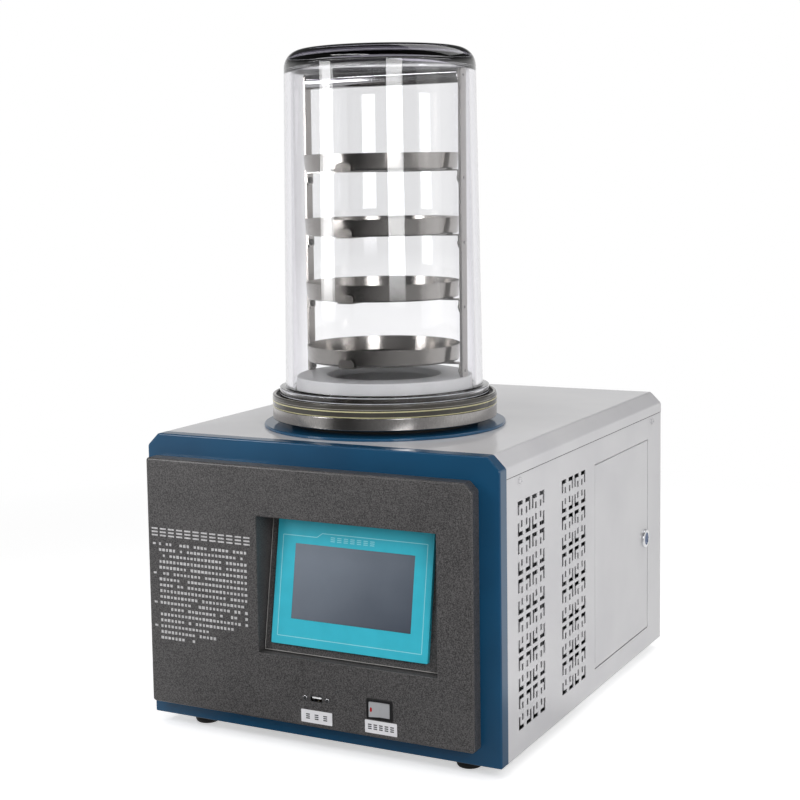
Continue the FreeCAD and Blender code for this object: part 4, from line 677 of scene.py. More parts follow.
def turned(profile: Sequence[tuple[float, float, float]], centre: Sequence[float] = (0, 0, 0),
           axis: Axis = Axis.UP, steps: int = 96) -> Shape:
    """Turned shape.

    Args:
        profile: (radius, height, rounding) of each corner of the half section. It starts and ends
            on the axis, or else it is closed.
        centre: Where radius and height count from.
        axis: Direction of the axis.
        steps: Number of facets round it.

    Returns:
        The closed shape.
    """
    shape = bmesh.new()
    points = [shape.verts.new((radius, 0.0, height)) for radius, height, _ in profile]
    links = list(zip(points, points[1:]))
    if profile[0][0] > 0:
        links.append((points[-1], points[0]))
    for pair in links:
        shape.edges.new(pair)
    for rounding in sorted({corner[2] for corner in profile} - {0}):
        chosen = [point for point, corner in zip(points, profile) if corner[2] == rounding]
        bmesh.ops.bevel(shape, geom=chosen, offset=rounding, offset_type="OFFSET",
                        segments=4 if rounding < WIDE else 10, profile=0.5,
                        affect="VERTICES", material=-1)
    bmesh.ops.spin(shape, geom=shape.verts[:] + shape.edges[:], cent=(0, 0, 0), axis=(0, 0, 1),
                   dvec=(0, 0, 0), angle=math.tau, steps=steps, use_merge=True)
    bmesh.ops.remove_doubles(shape, verts=shape.verts[:], dist=MERGE)
    bmesh.ops.recalc_face_normals(shape, faces=shape.faces[:])
    bmesh.ops.transform(shape, matrix=Matrix.Translation(Vector(centre)) @ axis.value,
                        verts=shape.verts[:])
    return shape


def soften(shape: Shape, radius: float,
           test: Callable[[Vector, Vector], bool] = lambda at, run: True,
           steps: int = 3, sharper: float = 25.0) -> Shape:
    """Rounds edges.

    Args:
        shape: What is rounded.
        radius: Radius of the rounding.
        test: Whether an edge is rounded, from its middle and its direction.
        steps: Facets across the rounding.
        sharper: Least angle in degrees between the faces of a rounded edge.

    Returns:
        The same shape.
    """
    chosen = []
    for edge in shape.edges:
        if edge.is_manifold and edge.calc_face_angle(0.0) > math.radians(sharper):
            a, b = (vert.co for vert in edge.verts)
            if test((a + b) / 2, (b - a).normalized()):
                chosen.append(edge)
    bmesh.ops.bevel(shape, geom=chosen, offset=radius, offset_type="OFFSET", segments=steps,
                    profile=0.5, affect="EDGES", material=-1, clamp_overlap=True)
    return shape


def add_copy(target: Shape, source: Shape, matrix: Matrix = Matrix.Identity(4)) -> Shape:
    """Adds a copy of one shape to another.

    Args:
        target: The shape that grows.
        source: The shape that is copied. It stays as it is.
        matrix: Where the copy goes.

    Returns:
        The grown shape.
    """
    scrap = bpy.data.meshes.new("scrap")
    source.to_mesh(scrap)
    scrap.transform(matrix)
    target.from_mesh(scrap)
    bpy.data.meshes.remove(scrap)
    return target


def carve(base: Shape, *tools: Shape) -> Shape:
    """Takes shapes out of another one.

    Args:
        base: What is cut. It is used up.
        *tools: What is taken out. They are used up.

    Returns:
        What is left.
    """
    scraps = []
    for shape in (base, *tools):
        mesh = bpy.data.meshes.new("scrap")
        shape.to_mesh(mesh)
        shape.free()
        scraps.append(bpy.data.objects.new("scrap", mesh))
        bpy.context.scene.collection.objects.link(scraps[-1])
    for tool in scraps[1:]:
        cut = scraps[0].modifiers.new("cut", "BOOLEAN")
        cut.operation, cut.solver, cut.object = "DIFFERENCE", "EXACT", tool
    solid = scraps[0].evaluated_get(bpy.context.evaluated_depsgraph_get())
    mesh = bpy.data.meshes.new_from_object(solid)
    result = bmesh.new()
    result.from_mesh(mesh)
    bpy.data.meshes.remove(mesh)
    for scrap in scraps:
        bpy.data.meshes.remove(scrap.data)
    bmesh.ops.remove_doubles(result, verts=result.verts[:], dist=MERGE)
    return result


def moved(shape: Shape, matrix: Matrix) -> Shape:
    """Moves a shape, and returns it."""
    bmesh.ops.transform(shape, matrix=matrix, verts=shape.verts[:])
    return shape


def publish(shape: Shape, name: str, finish: Finish, body: Body = Body.CABINET,
            stands_for: Sequence[str] = (), crease: float = 32.0) -> bpy.types.Object:
    """Turns a shape into a finished piece of the machine.

    Args:
        shape: The shape, in millimetres. It is used up.
        name: Name of the piece.
        finish: Its finish.
        body: What it rides on.
        stands_for: Frame nodes that it stands for.
        crease: Angle in degrees above which an edge stays sharp.

    Returns:
        The piece.
    """
    bmesh.ops.scale(shape, vec=(MM, MM, MM), verts=shape.verts[:])
    mesh = bpy.data.meshes.new(name)
    shape.to_mesh(mesh)
    shape.free()
    mesh.shade_smooth()
    mesh.set_sharp_from_angle(angle=math.radians(crease))
    mesh.materials.append(finish.material())
    piece = bpy.data.objects.new(name, mesh)
    bpy.context.scene.collection.objects.link(piece)
    even = piece.modifiers.new("even shading", "WEIGHTED_NORMAL")
    even.keep_sharp = True
    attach(piece, body.value)
    if stands_for:
        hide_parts(*stands_for)
    log.info("%s: %d faces", name, len(mesh.polygons))
    return piece


def dress(node: str, finish: Finish) -> None:
    """Gives a frame node its finish.

    Args:
        node: The node, whose own shape stays.
        finish: What it is given.
    """
    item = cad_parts[node]
    if not item.material_slots:
        item.data.materials.append(finish.material())
    for slot in item.material_slots:
        slot.material = finish.material()


def recast(node: str, finish: Finish, body: Body = Body.CABINET,
           edge: float = 0.3, crease: float = 28.0) -> bpy.types.Object:
    """A frame node's shape again, with smooth curves and its sharp edges taken off.

    Args:
        node: Frame node that the piece stands for.
        finish: Its finish.
        body: What it rides on.
        edge: Width of the rounding, in millimetres.
        crease: Angle in degrees above which an edge counts as sharp.

    Returns:
        The piece.
    """
    shape = bmesh.new()
    shape.from_mesh(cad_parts[node].data)
    moved(shape, Matrix.Scale(1 / MM, 4))
    bmesh.ops.remove_doubles(shape, verts=shape.verts[:], dist=0.002)
    bmesh.ops.dissolve_limit(shape, angle_limit=math.radians(1), verts=shape.verts[:],
                             edges=shape.edges[:])
    piece = publish(shape, f"finished_{node}", finish, body, (node,), crease)
    if edge:
        rounding = piece.modifiers.new("taken-off edges", "BEVEL")
        rounding.width = edge * MM
        rounding.segments = 2
        rounding.limit_method = "ANGLE"
        rounding.angle_limit = math.radians(crease)
        piece.modifiers.move(len(piece.modifiers) - 1, 0)
    return piece


def pan_head(radius: float, height: float) -> Shape:
    """Domed screw head with a cross recess, standing on the origin and pointing up.

    Args:
        radius: Radius of the head.
        height: Height of the head.

    Returns:
        The head.
    """
    dome, deep = height * 0.6, height * 0.45
    arm, width = radius * 0.58, radius * 0.11
    head = turned([(0, height, 0), (radius, height, dome), (radius, 0, 0), (0, 0, 0)], steps=32)
    return carve(head,
                 block((-arm, -width, deep), (arm, width, height + 1)),
                 block((-width, -arm, deep), (width, arm, height + 1)))


# ---------------------------------------------------------------- cabinet

@dataclass
class Cabinet:
    """Painted sheet-steel housing on rubber feet. Sizes in millimetres."""

    chamfer: float = 15.0
    front_edge: float = 4.0
    bend: float = 2.0
    bezel_wall: float = 3.0
    sheet: float = 1.0
    fold: float = 12.0
    skirt: float = 17.0
    skirt_gap: float = 12.2
    hub_hole: float = 110.0
    seam_height: float = 1.1
    seam_proud: float = 0.15

    def outline(self, span: Span, bottom: float, y: float, inset: float = 0.0) -> list[Vector]:
        """Front outline of the housing, with its two bevelled shoulders.

        Args:
            span: Box of the piece.
            bottom: Height of its lower edge.
            y: Where the outline stands.
            inset: How far inside the box it runs.

        Returns:
            Six corners.
        """
        left, right, top = span.lo.x + inset, span.hi.x - inset, span.hi.z - inset
        cut = self.chamfer - CORNER_CREEP * inset
        return [Vector(corner) for corner in (
            (left, y, bottom + inset), (right, y, bottom + inset), (right, y, top - cut),
            (right - cut, y, top), (left + cut, y, top), (left, y, top - cut))]

    def build(self) -> None:
        """Makes every piece of the housing."""
        self.bezel()
        self.lid()
        for node in ("left_side_panel", "right_side_panel", "rear_panel"):
            dress(node, LIGHT)
        dress("base_tray", ZINC)
        self.feet()
        self.screws()

    def bezel(self) -> None:
        """Blue front frame: rounded front edges, open behind."""
        span, pan = Span.of("front_bezel"), Span.of("control_panel")
        front, back = span.lo.y, span.hi.y
        shell = plate(self.outline(span, span.lo.z, front), (0, back - front, 0))
        soften(shell, self.bend, depthwise)
        soften(shell, self.front_edge, lambda at, run: abs(at.y - front) < NEAR, steps=5)
        cavity = plate(self.outline(span, span.lo.z, front + self.bezel_wall, self.bezel_wall),
                       (0, back - front, 0))
        opening = block((pan.lo.x + self.fold, front - OVER, pan.lo.z + self.fold),
                        (pan.hi.x - self.fold, back, pan.hi.z - self.fold))
        publish(carve(shell, cavity, opening), "bezel", BLUE, stands_for=["front_bezel"])

    def lid(self) -> None:
        """Folded top cover with its skirts and the round opening under the chamber."""
        span, bezel = Span.of("top_cover"), Span.of("front_bezel")
        seam, front, back = span.lo.z + self.skirt, span.lo.y, span.hi.y
        cover = plate(self.outline(span, seam, front), (0, back - front, 0))
        soften(cover, self.bend, lambda at, run: depthwise(at, run) and at.z > seam + 1)
        soften(cover, self.bend, lambda at, run: abs(at.y - back) < NEAR and at.z > seam + 1)
        inside = plate(self.outline(span, seam - 2 * self.sheet, front - OVER, self.sheet),
                       (0, back - front + OVER - self.sheet, 0))
        chamber, above = Span.of("collar_disc").middle, span.hi.z + 9
        hub = turned([(0, seam, 0), (self.hub_hole, seam, 0), (self.hub_hole, above, 0),
                      (0, above, 0)], (chamber.x, chamber.y, 0))
        cover = carve(cover, inside, hub)
        inner = Span.of("rear_panel").hi.x
        for side in (-1, 1):
            edge = sorted((side * inner, side * (inner - self.sheet)))
            add_copy(cover, block((edge[0], bezel.hi.y, span.lo.z),
                                  (edge[1], back - self.skirt_gap, seam)))
            ledge = sorted((side * inner, side * (span.hi.x - self.sheet)))
            add_copy(cover, block((ledge[0], bezel.hi.y, seam),
                                  (ledge[1], back - self.sheet, seam + self.sheet)))
        publish(cover, "lid", LIGHT, stands_for=["top_cover"])
        self.painted_seam_shade(seam, back)

    def painted_seam_shade(self, seam: float, back: float) -> None:
        """Dark strip in the gap between the lid and each side sheet: painted shade, for the shadow
        in the seam.

        Args:
            seam: Height of the lid's lower edge.
            back: Where the lid ends behind.
        """
        bezel = Span.of("front_bezel")
        outer, strip = Span.of("right_side_panel").hi.x, bmesh.new()
        for side in (-1, 1):
            edge = sorted((side * (outer - self.sheet), side * (outer + self.seam_proud)))
            add_copy(strip, block((edge[0], bezel.hi.y, seam - self.seam_height),
                                  (edge[1], back - self.sheet, seam)))
        # Black strip: painted shade in the seam.
        publish(strip, "lid_seam_strip", BLACK_RUBBER)

    def feet(self) -> None:
        """Four moulded feet, each with a hollow round its fixing."""
        for corner in ("front_left", "front_right", "rear_left", "rear_right"):
            span = Span.of(f"foot_{corner}")
            radius, height = (span.hi.x - span.lo.x) / 2, span.hi.z
            foot = turned([(0, height / 2, 0), (radius / 3, height / 2, 0), (radius / 3, 0, 0.8),
                           (radius * 0.86, 0, 1.5), (radius * 0.98, height * 0.25, 1.5),
                           (radius, height, 0), (0, height, 0)],
                          (span.middle.x, span.middle.y, 0), steps=SMALL_ROUND)
            publish(foot, f"rubber_{corner}", BLACK_RUBBER,
                    stands_for=[f"foot_{corner}"])

    def screws(self) -> None:
        """Four cross-recess screws that hold the side sheets to the lid."""
        span, face = Span.of("cover_screws"), Span.of("right_side_panel").hi.x
        middle_z = span.middle.z
        radius, height = (span.hi.z - span.lo.z) / 2, span.hi.x - face
        head, shape = pan_head(radius, height), bmesh.new()
        for y in (span.lo.y + radius, span.hi.y - radius):
            for side, axis in ((1, Axis.RIGHT), (-1, Axis.LEFT)):
                add_copy(shape, head, Matrix.Translation((side * face, y, middle_z)) @ axis.value)
        head.free()
        publish(shape, "cover_screw_heads", LIGHT, stands_for=["cover_screws"])


# ---------------------------------------------------------------- control panel

@dataclass
class Recess:
    """Slanted floor of the screen recess, and what lies on it. Sizes in millimetres."""

    tilt: float = 9.55
    depth: float = 11.6
    width: float = 232.0
    height: float = 163.0
    right_margin: float = 44.0
    top_margin: float = 59.3
    screen_lift: float = 10.8
    screen_shift: float = 2.0

    def __post_init__(self) -> None:
        """Places the window in the pan."""
        pan = Span.of("control_panel")
        self.front = pan.lo.y
        self.right = pan.hi.x - self.right_margin
        self.left = self.right - self.width
        self.top = pan.hi.z - self.top_margin
        self.bottom = self.top - self.height
        self.middle = (self.left + self.right) / 2 - self.screen_shift

    @property
    def slope(self) -> Matrix:
        """Frame of the slanted floor.

        Returns:
            Its axes, across, up along it and out of it, from the middle of its lower edge.
        """
        lean = math.radians(self.tilt)
        axes = Matrix(((1, 0, 0), (0, math.sin(lean), -math.cos(lean)),
                       (0, math.cos(lean), math.sin(lean)))).to_4x4()
        return Matrix.Translation((self.middle, self.front + self.depth, self.bottom)) @ axes

    @property
    def length(self) -> float:
        """Length of the floor along the slope."""
        return self.height / math.cos(math.radians(self.tilt))


@dataclass(frozen=True)
class PrintGrid:
    """Grid of printed marks, in millimetres.

    Left counts from the pan's left edge to the first column, and top from the ground to the
    first row.
    """

    left: float
    top: float
    pitch: float
    drop: float


@dataclass(frozen=True)
class LabelPlate:
    """Stuck-on plate with generic marks under one fitting. Sizes in millimetres."""

    name: str
    fitting: str
    shift: float
    height: float
    size: tuple[float, float]
    marks: int
    mark_width: float
    pitch: float


@dataclass
class ControlPanel:
    """Grained pan that stands proud of the bezel, with its print and label plates.

    Sizes in millimetres. Rows and columns of the print count from nought.
    """

    corner: float = 4.0
    cut_corner: float = 10.0
    cut_rounding: float = 1.5
    edge: float = 3.0
    depth: float = 18.0
    wall: float = 3.0
    window_edge: float = 0.9
    through: float = 9.0
    switch_rim: float = 1.5
    tub_drop: float = 2.0
    groove: float = 1.0
    floor_thick: float = 1.9
    floor_rounding: float = 0.5
    fold: float = 0.7
    fold_inset: float = 0.5
    fold_sunk: float = 0.3
    fold_rise: float = 0.15
    print_rise: float = 0.12
    stuck: float = 0.05
    seed: int = 7
    heading: PrintGrid = PrintGrid(10.5, 250.6, 11.9, 4.1)
    heading_columns: int = 12
    heading_rows: int = 3
    heading_bar: tuple[float, float] = (8.6, 1.9)
    text: PrintGrid = PrintGrid(17.8, 232.0, 5.05, 7.25)
    text_rows: int = 17
    text_columns: int = 25
    short_rows: tuple[tuple[int, int], ...] = ((13, 21), (14, 14), (15, 16), (16, 11))
    gaps: tuple[tuple[int, int], ...] = ((0, 20), (14, 14), (14, 15), (15, 16), (16, 10))
    gap_share: float = 0.1
    mark_widths: tuple[float, float] = (2.6, 3.9)
    mark_heights: tuple[float, float] = (2.8, 3.7)
    lead_rows: tuple[int, ...] = (0, 5, 10, 14)
    lead_left: float = 9.5
    lead_mark: tuple[float, float] = (4.2, 2.4)
    card_rise: float = 0.4
    card_corner: float = 0.8
    card_print: tuple[float, float] = (0.46, 0.38)
    card_rows: tuple[float, ...] = (-2.4, 0.0, 2.4)
    card_mark: float = 0.7
    cards: tuple[LabelPlate, ...] = (
        LabelPlate("port_label", "usb_socket", 0.0, 47.2, (41.1, 15.2), 3, 5.0, 11.5),
        LabelPlate("switch_label", "switch_frame", 1.5, 47.0, (40.8, 15.0), 5, 4.6, 7.1))

    def outline(self, y: float, inset: float = 0.0) -> list[Vector]:
        """Five corners of the pan's outline, its upper right one cut off.

        Args:
            y: How far back the outline lies.
            inset: How far it lies inside the pan's edge.

        Returns:
            The corners.
        """
        span, cut = Span.of("control_panel"), self.cut_corner - CORNER_CREEP * inset
        left, right = span.lo.x + inset, span.hi.x - inset
        bottom, top = span.lo.z + inset, span.hi.z - inset
        return [Vector(corner) for corner in ((left, y, bottom), (right, y, bottom),
                                              (right, y, top - cut), (right - cut, y, top),
                                              (left, y, top))]

    def build(self, recess: Recess) -> None:
        """Makes the pan, the recess and all that is printed or stuck on the front.

        Args:
            recess: Where the window and the slanted floor lie.
        """
        self.pan(recess)
        self.floor(recess)
        self.printing()
        self.labels()

    def pan(self, recess: Recess) -> None:
        """Front skin and rim, open behind, and the tub behind the window.

        Args:
            recess: Where the window lies and how the tub behind it slants.
        """
        span, usb, switch = Span.of("control_panel"), Span.of("usb_socket"), Span.of("switch_frame")
        front, back, rim = span.lo.y, span.lo.y + self.through, self.switch_rim
        cut_right, cut_top = (edge - self.cut_corner - 1 for edge in (span.hi.x, span.hi.z))
        shell = plate(self.outline(front), (0, self.depth, 0))
        soften(shell, self.corner, lambda at, run: depthwise(at, run) and not (
            at.x > cut_right and at.z > cut_top), steps=5)
        soften(shell, self.cut_rounding, lambda at, run: depthwise(at, run) and at.x > cut_right
               and at.z > cut_top)
        soften(shell, self.edge, lambda at, run: abs(at.y - front) < NEAR, steps=5)
        shell = carve(
            shell,
            plate(self.outline(front + self.wall, self.wall), (0, self.depth, 0)),
            block((recess.left, front - OVER, recess.bottom), (recess.right, back, recess.top)),
            block((usb.lo.x, front - OVER, usb.lo.z), (usb.hi.x, back, usb.hi.z)),
            block((switch.lo.x + rim, front - OVER, switch.lo.z + rim),
                  (switch.hi.x - rim, back, switch.hi.z - rim)))
        soften(shell, self.window_edge, lambda at, run: abs(at.y - front) < NEAR
               and recess.left - 1 < at.x < recess.right + 1
               and recess.bottom - 1 < at.z < recess.top + 1)
        publish(shell, "pan", CHARCOAL, stands_for=["control_panel"])
        lean = math.tan(math.radians(recess.tilt))
        low, high = front + recess.depth, front + recess.depth + recess.height * lean
        wall, deep = self.wall, self.tub_drop
        outer = plate([(recess.left - wall, front + wall, recess.bottom - wall),
                       (recess.left - wall, low + wall, recess.bottom - wall),
                       (recess.left - wall, high + wall, recess.top + wall),
                       (recess.left - wall, front + wall, recess.top + wall)],
                      (recess.width + 2 * wall, 0, 0))
        inner = plate([(recess.left, front - OVER, recess.bottom),
                       (recess.left, low + deep, recess.bottom),
                       (recess.left, high + deep, recess.top),
                       (recess.left, front - OVER, recess.top)], (recess.width, 0, 0))
        publish(carve(outer, inner), "recess_walls", CHARCOAL,
                stands_for=["control_panel"])

    def floor(self, recess: Recess) -> None:
        """Slanted floor plate with a fine groove round it, and inside that the fold's pale line, a
        painted highlight.

        Args:
            recess: Where the floor lies.
        """
        gap, shift, rim = self.groove, recess.screen_shift, self.fold_inset
        slab = block((shift - recess.width / 2 + gap, gap, -self.floor_thick),
                     (shift + recess.width / 2 - gap, recess.length - gap, 0))
        soften(slab, self.floor_rounding, lambda at, run: at.z > -0.1)
        publish(moved(slab, recess.slope), "recess_floor", CHARCOAL,
                stands_for=["control_panel"])
        # The pale line along the fold is a painted highlight.
        half, far, fold = recess.width / 2 - gap - rim, recess.length - gap - rim, self.fold
        line = carve(block((shift - half, gap + rim, -self.fold_sunk),
                           (shift + half, far, self.fold_rise)),
                     block((shift - half + fold, gap + rim + fold, -OVER),
                           (shift + half - fold, far - fold, OVER)))
        publish(moved(line, recess.slope), "recess_fold_line", FOLD_HIGHLIGHT)

    def mark(self, shape: Shape, x: float, z: float, width: float, height: float) -> None:
        """Adds one printed bar.

        Args:
            shape: The print so far.
            x: Where its middle lies across.
            z: And in height.
            width: Width of the bar.
            height: Height of the bar.
        """
        y = Span.of("control_panel").lo.y
        add_copy(shape, block((x - width / 2, y - self.print_rise, z - height / 2),
                              (x + width / 2, y + self.stuck, z + height / 2)))

    def printing(self) -> None:
        """Generic printed rows: a heading of stacked bars over rows of small squares."""
        left, draw, shape = Span.of("control_panel").lo.x, random.Random(self.seed), bmesh.new()
        for column in range(self.heading_columns):
            x = left + self.heading.left + self.heading.pitch * column
            for row in range(self.heading_rows):
                self.mark(shape, x, self.heading.top - self.heading.drop * row, *self.heading_bar)
        for row in range(self.text_rows):
            height = self.text.top - self.text.drop * row
            for column in range(dict(self.short_rows).get(row, self.text_columns)):
                if draw.random() < self.gap_share or (row, column) in self.gaps:
                    continue
                self.mark(shape, left + self.text.left + self.text.pitch * column, height,
                          draw.uniform(*self.mark_widths), draw.uniform(*self.mark_heights))
            if row in self.lead_rows:
                self.mark(shape, left + self.lead_left, height, *self.lead_mark)
        publish(shape, "printed_rows", INK)

    def labels(self) -> None:
        """Two stuck-on label plates with generic dark marks."""
        front, (rise, sunk) = Span.of("control_panel").lo.y, self.card_print
        for card in self.cards:
            x, z = Span.of(card.fitting).middle.x + card.shift, card.height
            width, height = card.size
            sheet = block((x - width / 2, front - self.card_rise, z - height / 2),
                          (x + width / 2, front + self.stuck, z + height / 2))
            soften(sheet, self.card_corner, depthwise)
            publish(sheet, card.name, LABEL)
            marks, half = bmesh.new(), card.mark_width / 2
            for step in range(card.marks):
                middle = x + (step - (card.marks - 1) / 2) * card.pitch
                for row in self.card_rows:
                    add_copy(marks, block((middle - half, front - rise, z + row - self.card_mark),
                                          (middle + half, front - sunk, z + row + self.card_mark)))
            publish(marks, f"{card.name}_marks", DARK_INK)


@dataclass
class TouchScreen:
    """Operator screen lying on the recess floor: frame, printed overlay and picture."""

    width: float = 204.0
    height: float = 150.0
    thick: float = 5.0
    picture_width: float = 156.0
    picture_height: float = 88.0
    picture_lift: float = 31.0
    picture_shift: float = 1.0
    pane: float = 1.0
    pane_gap: float = 0.1
    pane_sunk: float = 0.15
    pane_edge: float = 0.3
    corner: float = 1.6
    edge: float = 0.8
    housing: float = 24.0
    housing_rim: float = 7.2
    housing_edge: float = 1.0
    housing_reach: float = 0.5
    line: float = 0.9
    print_sunk: float = 0.02
    print_rise: float = 0.06
    border_side: float = 8.0
    border_foot: float = 10.0
    border_drop: float = 17.0
    border_step: float = 5.0
    step_from: float = 45.0
    step_to: float = 52.0
    marks: int = 7
    mark_pitch: float = 8.6
    mark_shift: float = 2.0
    mark_half: float = 2.8
    mark_drops: tuple[float, float] = (25.6, 24.6)
    mark_rows: tuple[float, ...] = (0.0, 2.2, 4.4)

    def build(self, recess: Recess) -> None:
        """Makes the screen on the recess's slope.

        Args:
            recess: Where the slope lies.
        """
        low, half, gap = recess.screen_lift, self.width / 2, self.pane_gap
        frame_shape = block((-half, low, 0), (half, low + self.height, self.thick))
        soften(frame_shape, self.corner, lambda at, run: abs(run.z) > 0.9)
        soften(frame_shape, self.edge, lambda at, run: at.z > self.thick - 0.1)
        left = self.picture_shift - self.picture_width / 2
        right, bottom = left + self.picture_width, low + self.picture_lift
        top = bottom + self.picture_height
        well = block((left, bottom, self.thick - self.pane), (right, top, self.thick + OVER))
        frame_shape = moved(carve(frame_shape, well), recess.slope)
        publish(frame_shape, "screen_frame", TEAL, stands_for=["touch_screen"])
        rim = self.housing_rim
        case = block((rim - half, low + rim, -self.housing),
                     (half - rim, low + self.height - rim, self.housing_reach))
        publish(moved(soften(case, self.housing_edge), recess.slope), "screen_housing",
                BLACK_PLASTIC, stands_for=["touch_screen"])
        glass = block((left + gap, bottom + gap, self.thick - self.pane),
                      (right - gap, top - gap, self.thick - self.pane_sunk))
        soften(glass, self.pane_edge, lambda at, run: at.z > self.thick - 0.2)
        span = Span.of("screen_glass")
        # The pale colour is a painted reflection, strongest at the upper left.
        picture = DisplayPane("unlit_picture_under_cover", "#363D4A", 0.18, pale="#828B97",
                              low=tuple(span.lo * MM), high=tuple(span.hi * MM))
        publish(moved(glass, recess.slope), "picture", picture,
                stands_for=["screen_glass"])
        self.print_lines(recess)

    def print_lines(self, recess: Recess) -> None:
        """Fine pale border with a step in its upper edge, and a row of generic marks.

        Args:
            recess: Where the slope lies.
        """
        low, up = recess.screen_lift, self.height - self.border_drop
        x = self.width / 2 - self.border_side
        sunk, proud = self.thick - self.print_sunk, self.thick + self.print_rise
        points = [(-x, self.border_foot), (x, self.border_foot), (x, up), (-x + self.step_to, up),
                  (-x + self.step_from, up - self.border_step), (-x, up - self.border_step)]
        shape = bmesh.new()
        for (ax, az), (bx, bz) in zip(points, points[1:] + points[:1]):
            run = Vector((bx - ax, bz - az, 0))
            bar = block((-run.length / 2, -self.line / 2, sunk),
                        (run.length / 2, self.line / 2, proud))
            turn = Matrix.Rotation(math.atan2(run.y, run.x), 4, "Z")
            add_copy(shape, bar, Matrix.Translation(((ax + bx) / 2, low + (az + bz) / 2, 0)) @ turn)
        foot, head = (low + self.height - drop for drop in self.mark_drops)
        for mark in range(self.marks):
            middle = (mark - (self.marks - 1) / 2) * self.mark_pitch - self.mark_shift
            for rise in self.mark_rows:
                add_copy(shape, block((middle - self.mark_half, foot + rise, sunk),
                                      (middle + self.mark_half, head + rise, proud)))
        publish(moved(shape, recess.slope), "overlay_print", PALE_TEAL)


@dataclass
class PortAndSwitch:
    """Data port with its two screws, and the rocker switch. Sizes in millimetres."""

    port_wall: float = 0.7
    port_corner: float = 0.8
    mouth_corner: float = 0.5
    tongue_side: float = 2.0
    tongue_sunk: float = 1.0
    tongue_rise: tuple[float, float] = (-0.1, 1.9)
    tongue_edge: float = 0.3
    contacts: int = 4
    contact_pitch: float = 2.5
    contact_half: float = 0.6
    contact_ends: tuple[float, float] = (1.6, 2.0)
    contact_rise: tuple[float, float] = (-0.25, -0.05)
    rim: float = 3.0
    rim_corner: float = 1.0
    rim_edge: float = 0.7
    case_inset: float = 1.5
    well_floor: float = 1.5
    face_turn: float = 16.1
    mark_radius: float = 1.3
    mark_thick: float = 0.2
    mark_stretch: float = 2.2
    mark_inset: tuple[float, float] = (3.2, 0.86)

    def build(self) -> None:
        """Makes the port and the switch."""
        self.port()
        self.switch()

    def port(self) -> None:
        """Folded shell with a lip, a tongue with its four contacts, and two screws."""
        span = Span.of("usb_socket")
        low, high, middle, wall = span.lo, span.hi, span.middle, self.port_wall
        shell = block((low.x, low.y, low.z), (high.x, high.y, high.z))
        soften(shell, self.port_corner, depthwise)
        mouth = block((low.x + wall, low.y - OVER, low.z + wall),
                      (high.x - wall, high.y - 1, high.z - wall))
        soften(mouth, self.mouth_corner, depthwise)
        publish(carve(shell, mouth), "port_shell", CHROME, stands_for=["usb_socket"])
        under, over = (middle.z + rise for rise in self.tongue_rise)
        tongue = block((low.x + self.tongue_side, low.y + self.tongue_sunk, under),
                       (high.x - self.tongue_side, high.y - 1, over))
        publish(soften(tongue, self.tongue_edge), "port_tongue", WHITE_PLASTIC)
        contacts, (near, far) = bmesh.new(), self.contact_ends
        under, over = (middle.z + rise for rise in self.contact_rise)
        for step in range(self.contacts):
            x = middle.x + (step - (self.contacts - 1) / 2) * self.contact_pitch
            add_copy(contacts, block((x - self.contact_half, low.y + near, under),
                                     (x + self.contact_half, high.y - far, over)))
        publish(contacts, "port_contacts", BRASS)
        screws = Span.of("panel_screws")
        front = Span.of("control_panel").lo.y
        radius, height = (screws.hi.z - screws.lo.z) / 2, front - screws.lo.y
        head, shape = pan_head(radius, height), bmesh.new()
        for x in (screws.lo.x + radius, screws.hi.x - radius):
            at = Matrix.Translation((x, front, screws.middle.z))
            add_copy(shape, head, at @ Axis.FRONT.value)
        head.free()
        publish(shape, "port_screws", CHROME, stands_for=["panel_screws"])

    def switch(self) -> None:
        """Frame with a rounded rim and a deep well, and the two-faced rocker with its red mark."""
        span, front = Span.of("switch_frame"), Span.of("control_panel").lo.y
        low, high = span.lo, span.hi
        inset = self.case_inset
        case = block((low.x + inset, front, low.z + inset),
                     (high.x - inset, high.y, high.z - inset))
        rim = block((low.x, low.y, low.z), (high.x, front, high.z))
        soften(rim, self.rim_corner, depthwise)
        soften(rim, self.rim_edge, lambda at, run: abs(at.y - low.y) < NEAR)
        well = ((low.x + self.rim, low.y - OVER, low.z + self.rim),
                (high.x - self.rim, high.y - self.well_floor, high.z - self.rim))
        frame_shape = add_copy(carve(rim, block(*well)), carve(case, block(*well)))
        publish(frame_shape, "switch_surround", BLACK_PLASTIC,
                stands_for=["switch_frame"])
        recast("switch_rocker", GREY_PLASTIC, Body.ROCKER, edge=0.5)
        rocker = Span.of("switch_rocker")
        radius, thick, (across, deep) = self.mark_radius, self.mark_thick, self.mark_inset
        mark = turned([(0, 0, 0), (radius, 0, 0), (radius, thick, 0), (0, thick, 0)], steps=24)
        bmesh.ops.scale(mark, vec=(1.0, self.mark_stretch, 1.0), verts=mark.verts[:])
        lean = Matrix.Rotation(math.radians(self.face_turn), 4, "Z")
        at = Vector((rocker.lo.x + across, rocker.lo.y + deep, rocker.middle.z))
        publish(moved(mark, Matrix.Translation(at) @ lean @ Axis.FRONT.value), "rocker_mark",
                RED_MARK, Body.ROCKER)


# ---------------------------------------------------------------- chamber and rack

@dataclass(frozen=True)
class RingLine:
    """Section of a fine raised line that runs round the chamber, in millimetres.

    It reaches back, out, down and up from its own place by the first four sizes.
    """

    back: float
    out: float
    down: float
    up: float
    rounding: float

    def drawn(self, at: Sequence[float], places: Sequence[tuple[float, float]]) -> Shape:
        """Rings with this section and rounded outer edges.

        Args:
            at: Their centre.
            places: Radius and height of each.

        Returns:
            All of them as one shape.
        """
        shape = bmesh.new()
        for radius, height in places:
            inner, outer = radius - self.back, radius + self.out
            low, high = height - self.down, height + self.up
            ring = turned([(inner, low, 0), (outer, low, self.rounding),
                           (outer, high, self.rounding), (inner, high, 0)], at, steps=ROUND)
            add_copy(shape, ring)
            ring.free()
        return shape


